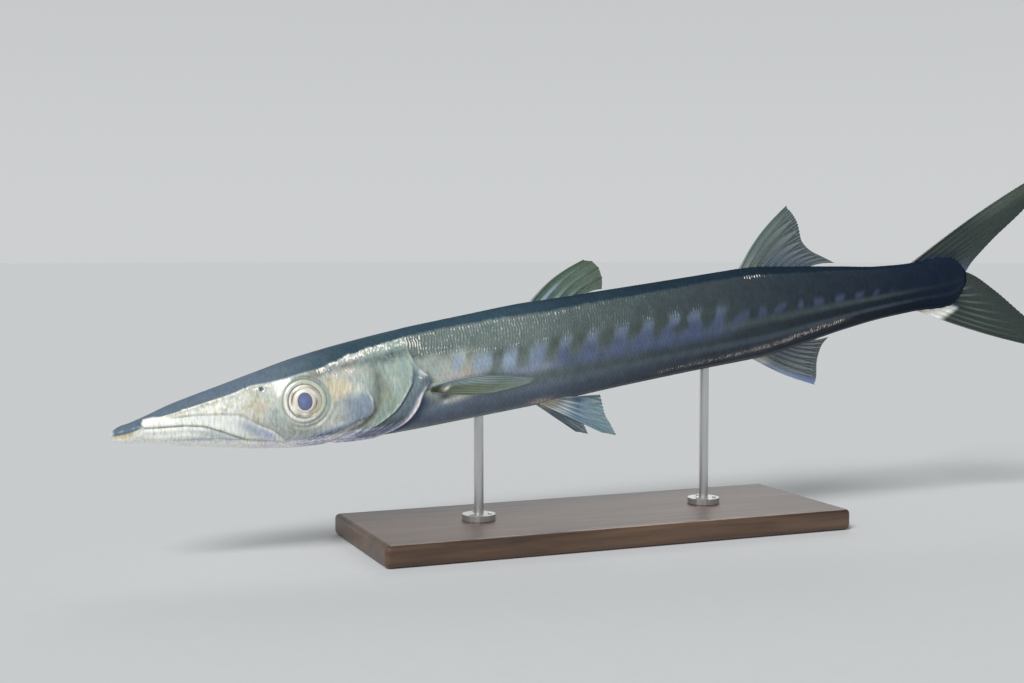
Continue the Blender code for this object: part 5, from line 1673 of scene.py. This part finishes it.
def wood_material():
    shader = Shader("dark_walnut")
    grain = shader.noise(shader.stretched((6.0, 90.0, 90.0)), 1.0, 4.0, 0.6)
    fibres = shader.noise(shader.stretched((40.0, 900.0, 900.0)), 1.0, 2.0)
    stops = ((0.25, (0.03, 0.016, 0.009)), (0.5, (0.075, 0.04, 0.022)), (0.75, (0.12, 0.068, 0.038)))
    color = shader.add("ShaderNodeValToRGB", {"stops": stops}, {"Fac": grain + (fibres - 0.5) * 0.25})
    shader.set(Base_Color=color, Roughness=0.38 + fibres * 0.15, Normal=shader.bumped(fibres, 0.0001, 0.4))
    shader.set(Coat_Weight=0.25, Coat_Roughness=0.2)
    return shader.material


def steel_material():
    shader = Shader("brushed_steel_rod")
    brush = shader.noise(shader.stretched((1200.0, 1200.0, 30.0)), 1.0, 2.0)
    color = brush.mix((0.5, 0.5, 0.5), (0.68, 0.68, 0.67))
    shader.set(Base_Color=color, Metallic=1.0, Roughness=0.24 + brush * 0.14)
    shader.set(Normal=shader.bumped(brush, 0.00005, 0.3))
    return shader.material


class BARRACUDA_OT_stand(bpy.types.Operator):
    """Finish the display stand: wood, brushed steel and small screws"""

    bl_idname = "barracuda.stand"
    bl_label = "Stand"

    def execute(self, context):
        wood, steel = wood_material(), steel_material()
        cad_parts["stand_base"].data.materials.clear()
        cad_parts["stand_base"].data.materials.append(wood)
        for name in ("stand_rod_front", "stand_rod_rear"):
            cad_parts[name].data.materials.clear()
            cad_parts[name].data.materials.append(steel)
            add_screws(name, steel)
        return {"FINISHED"}


def view_from(azimuth_deg, elevation_deg):
    """The way from the model to a viewer or a light; azimuth 0 is straight in front of its left side."""
    azimuth, elevation = math.radians(azimuth_deg), math.radians(elevation_deg)
    level = math.cos(elevation)
    return Vector((math.sin(azimuth) * level, -math.cos(azimuth) * level, math.sin(elevation)))


def add_camera(context):
    back = view_from(CAMERA_AZIMUTH_DEG, CAMERA_ELEVATION_DEG)
    data = bpy.data.cameras.new("camera")
    data.lens = CAMERA_LENS_MM
    camera = bpy.data.objects.new("camera", data)
    context.scene.collection.objects.link(camera)
    camera.location = POSE.translation + Vector(CAMERA_AIM) + back * CAMERA_DISTANCE
    camera.rotation_mode = "QUATERNION"
    camera.rotation_quaternion = (-back).to_track_quat("-Z", "Y")
    context.scene.camera = camera


def add_floor():
    start_clean()
    below = (0.0, 0.0, -0.0002)
    bpy.ops.mesh.primitive_circle_add(vertices=96, radius=14.0, fill_type="NGON", location=below)
    floor = bpy.context.object
    floor.name = "floor"
    shader = Shader("pale_floor")
    speck = shader.noise(shader.place(), 60.0, 3.0)
    shader.set(Base_Color=speck.mix(FLOOR_COLORS[0], FLOOR_COLORS[1]), Roughness=0.9, Specular_IOR_Level=0.0)
    floor.data.materials.append(shader.material)


def add_lights(context):
    """A sky that is as bright as the floor where they meet, a wide soft key light and a weak one behind."""
    context.scene.view_settings.view_transform = "Standard"
    sky = Shader("studio", "worlds", "Background")
    direction = sky.add("ShaderNodeTexCoord", output=0)
    height = sky.add("ShaderNodeSeparateXYZ", {}, {"Vector": direction}, output=2)
    sky.set(Color=height.above(0.0, 0.75).mix(HORIZON_LIGHT, ZENITH_LIGHT), Strength=1.0)
    context.scene.world = sky.material
    for name, azimuth, elevation, strength in SUNS:
        data = bpy.data.lights.new(name, "SUN")
        data.energy, data.angle = strength, math.radians(SUN_WIDTH_DEG)
        light = bpy.data.objects.new(name, data)
        context.scene.collection.objects.link(light)
        light.rotation_mode = "QUATERNION"
        light.rotation_quaternion = (-view_from(azimuth, elevation)).to_track_quat("-Z", "Y")


class BARRACUDA_OT_stage(bpy.types.Operator):
    """Set the camera, the lights and a plain pale floor"""

    bl_idname = "barracuda.stage"
    bl_label = "Stage"

    def execute(self, context):
        add_camera(context)
        add_floor()
        add_lights(context)
        return {"FINISHED"}


class BARRACUDA_PT_panel(bpy.types.Panel):
    """Steps of the model, in order"""

    bl_idname = "BARRACUDA_PT_panel"
    bl_label = "Barracuda"
    bl_space_type = "VIEW_3D"
    bl_region_type = "UI"
    bl_category = "Barracuda"

    def draw(self, context):
        for operator in STEPS:
            self.layout.operator(operator.bl_idname)
        for group in (context.scene.barracuda_sizes, context.scene.barracuda_colors):
            for key in group.__annotations__:
                self.layout.prop(group, key)


STEPS = (
    BARRACUDA_OT_stage,
    BARRACUDA_OT_skin,
    BARRACUDA_OT_scales,
    BARRACUDA_OT_eyes,
    BARRACUDA_OT_upright_fins,
    BARRACUDA_OT_tail_fin,
    BARRACUDA_OT_paired_fins,
    BARRACUDA_OT_stand,
)
CLASSES = (BarracudaSizes, BarracudaColors, *STEPS, BARRACUDA_PT_panel)


def register():
    for item in CLASSES:
        bpy.utils.register_class(item)
    bpy.types.Scene.barracuda_sizes = PointerProperty(type=BarracudaSizes)
    bpy.types.Scene.barracuda_colors = PointerProperty(type=BarracudaColors)


def unregister():
    del bpy.types.Scene.barracuda_colors
    del bpy.types.Scene.barracuda_sizes
    for item in reversed(CLASSES):
        bpy.utils.unregister_class(item)


def main():
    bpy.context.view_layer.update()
    register()
    for step in STEPS:
        group, name = step.bl_idname.split(".")
        getattr(getattr(bpy.ops, group), name)()


if __name__ == "__main__":
    main()
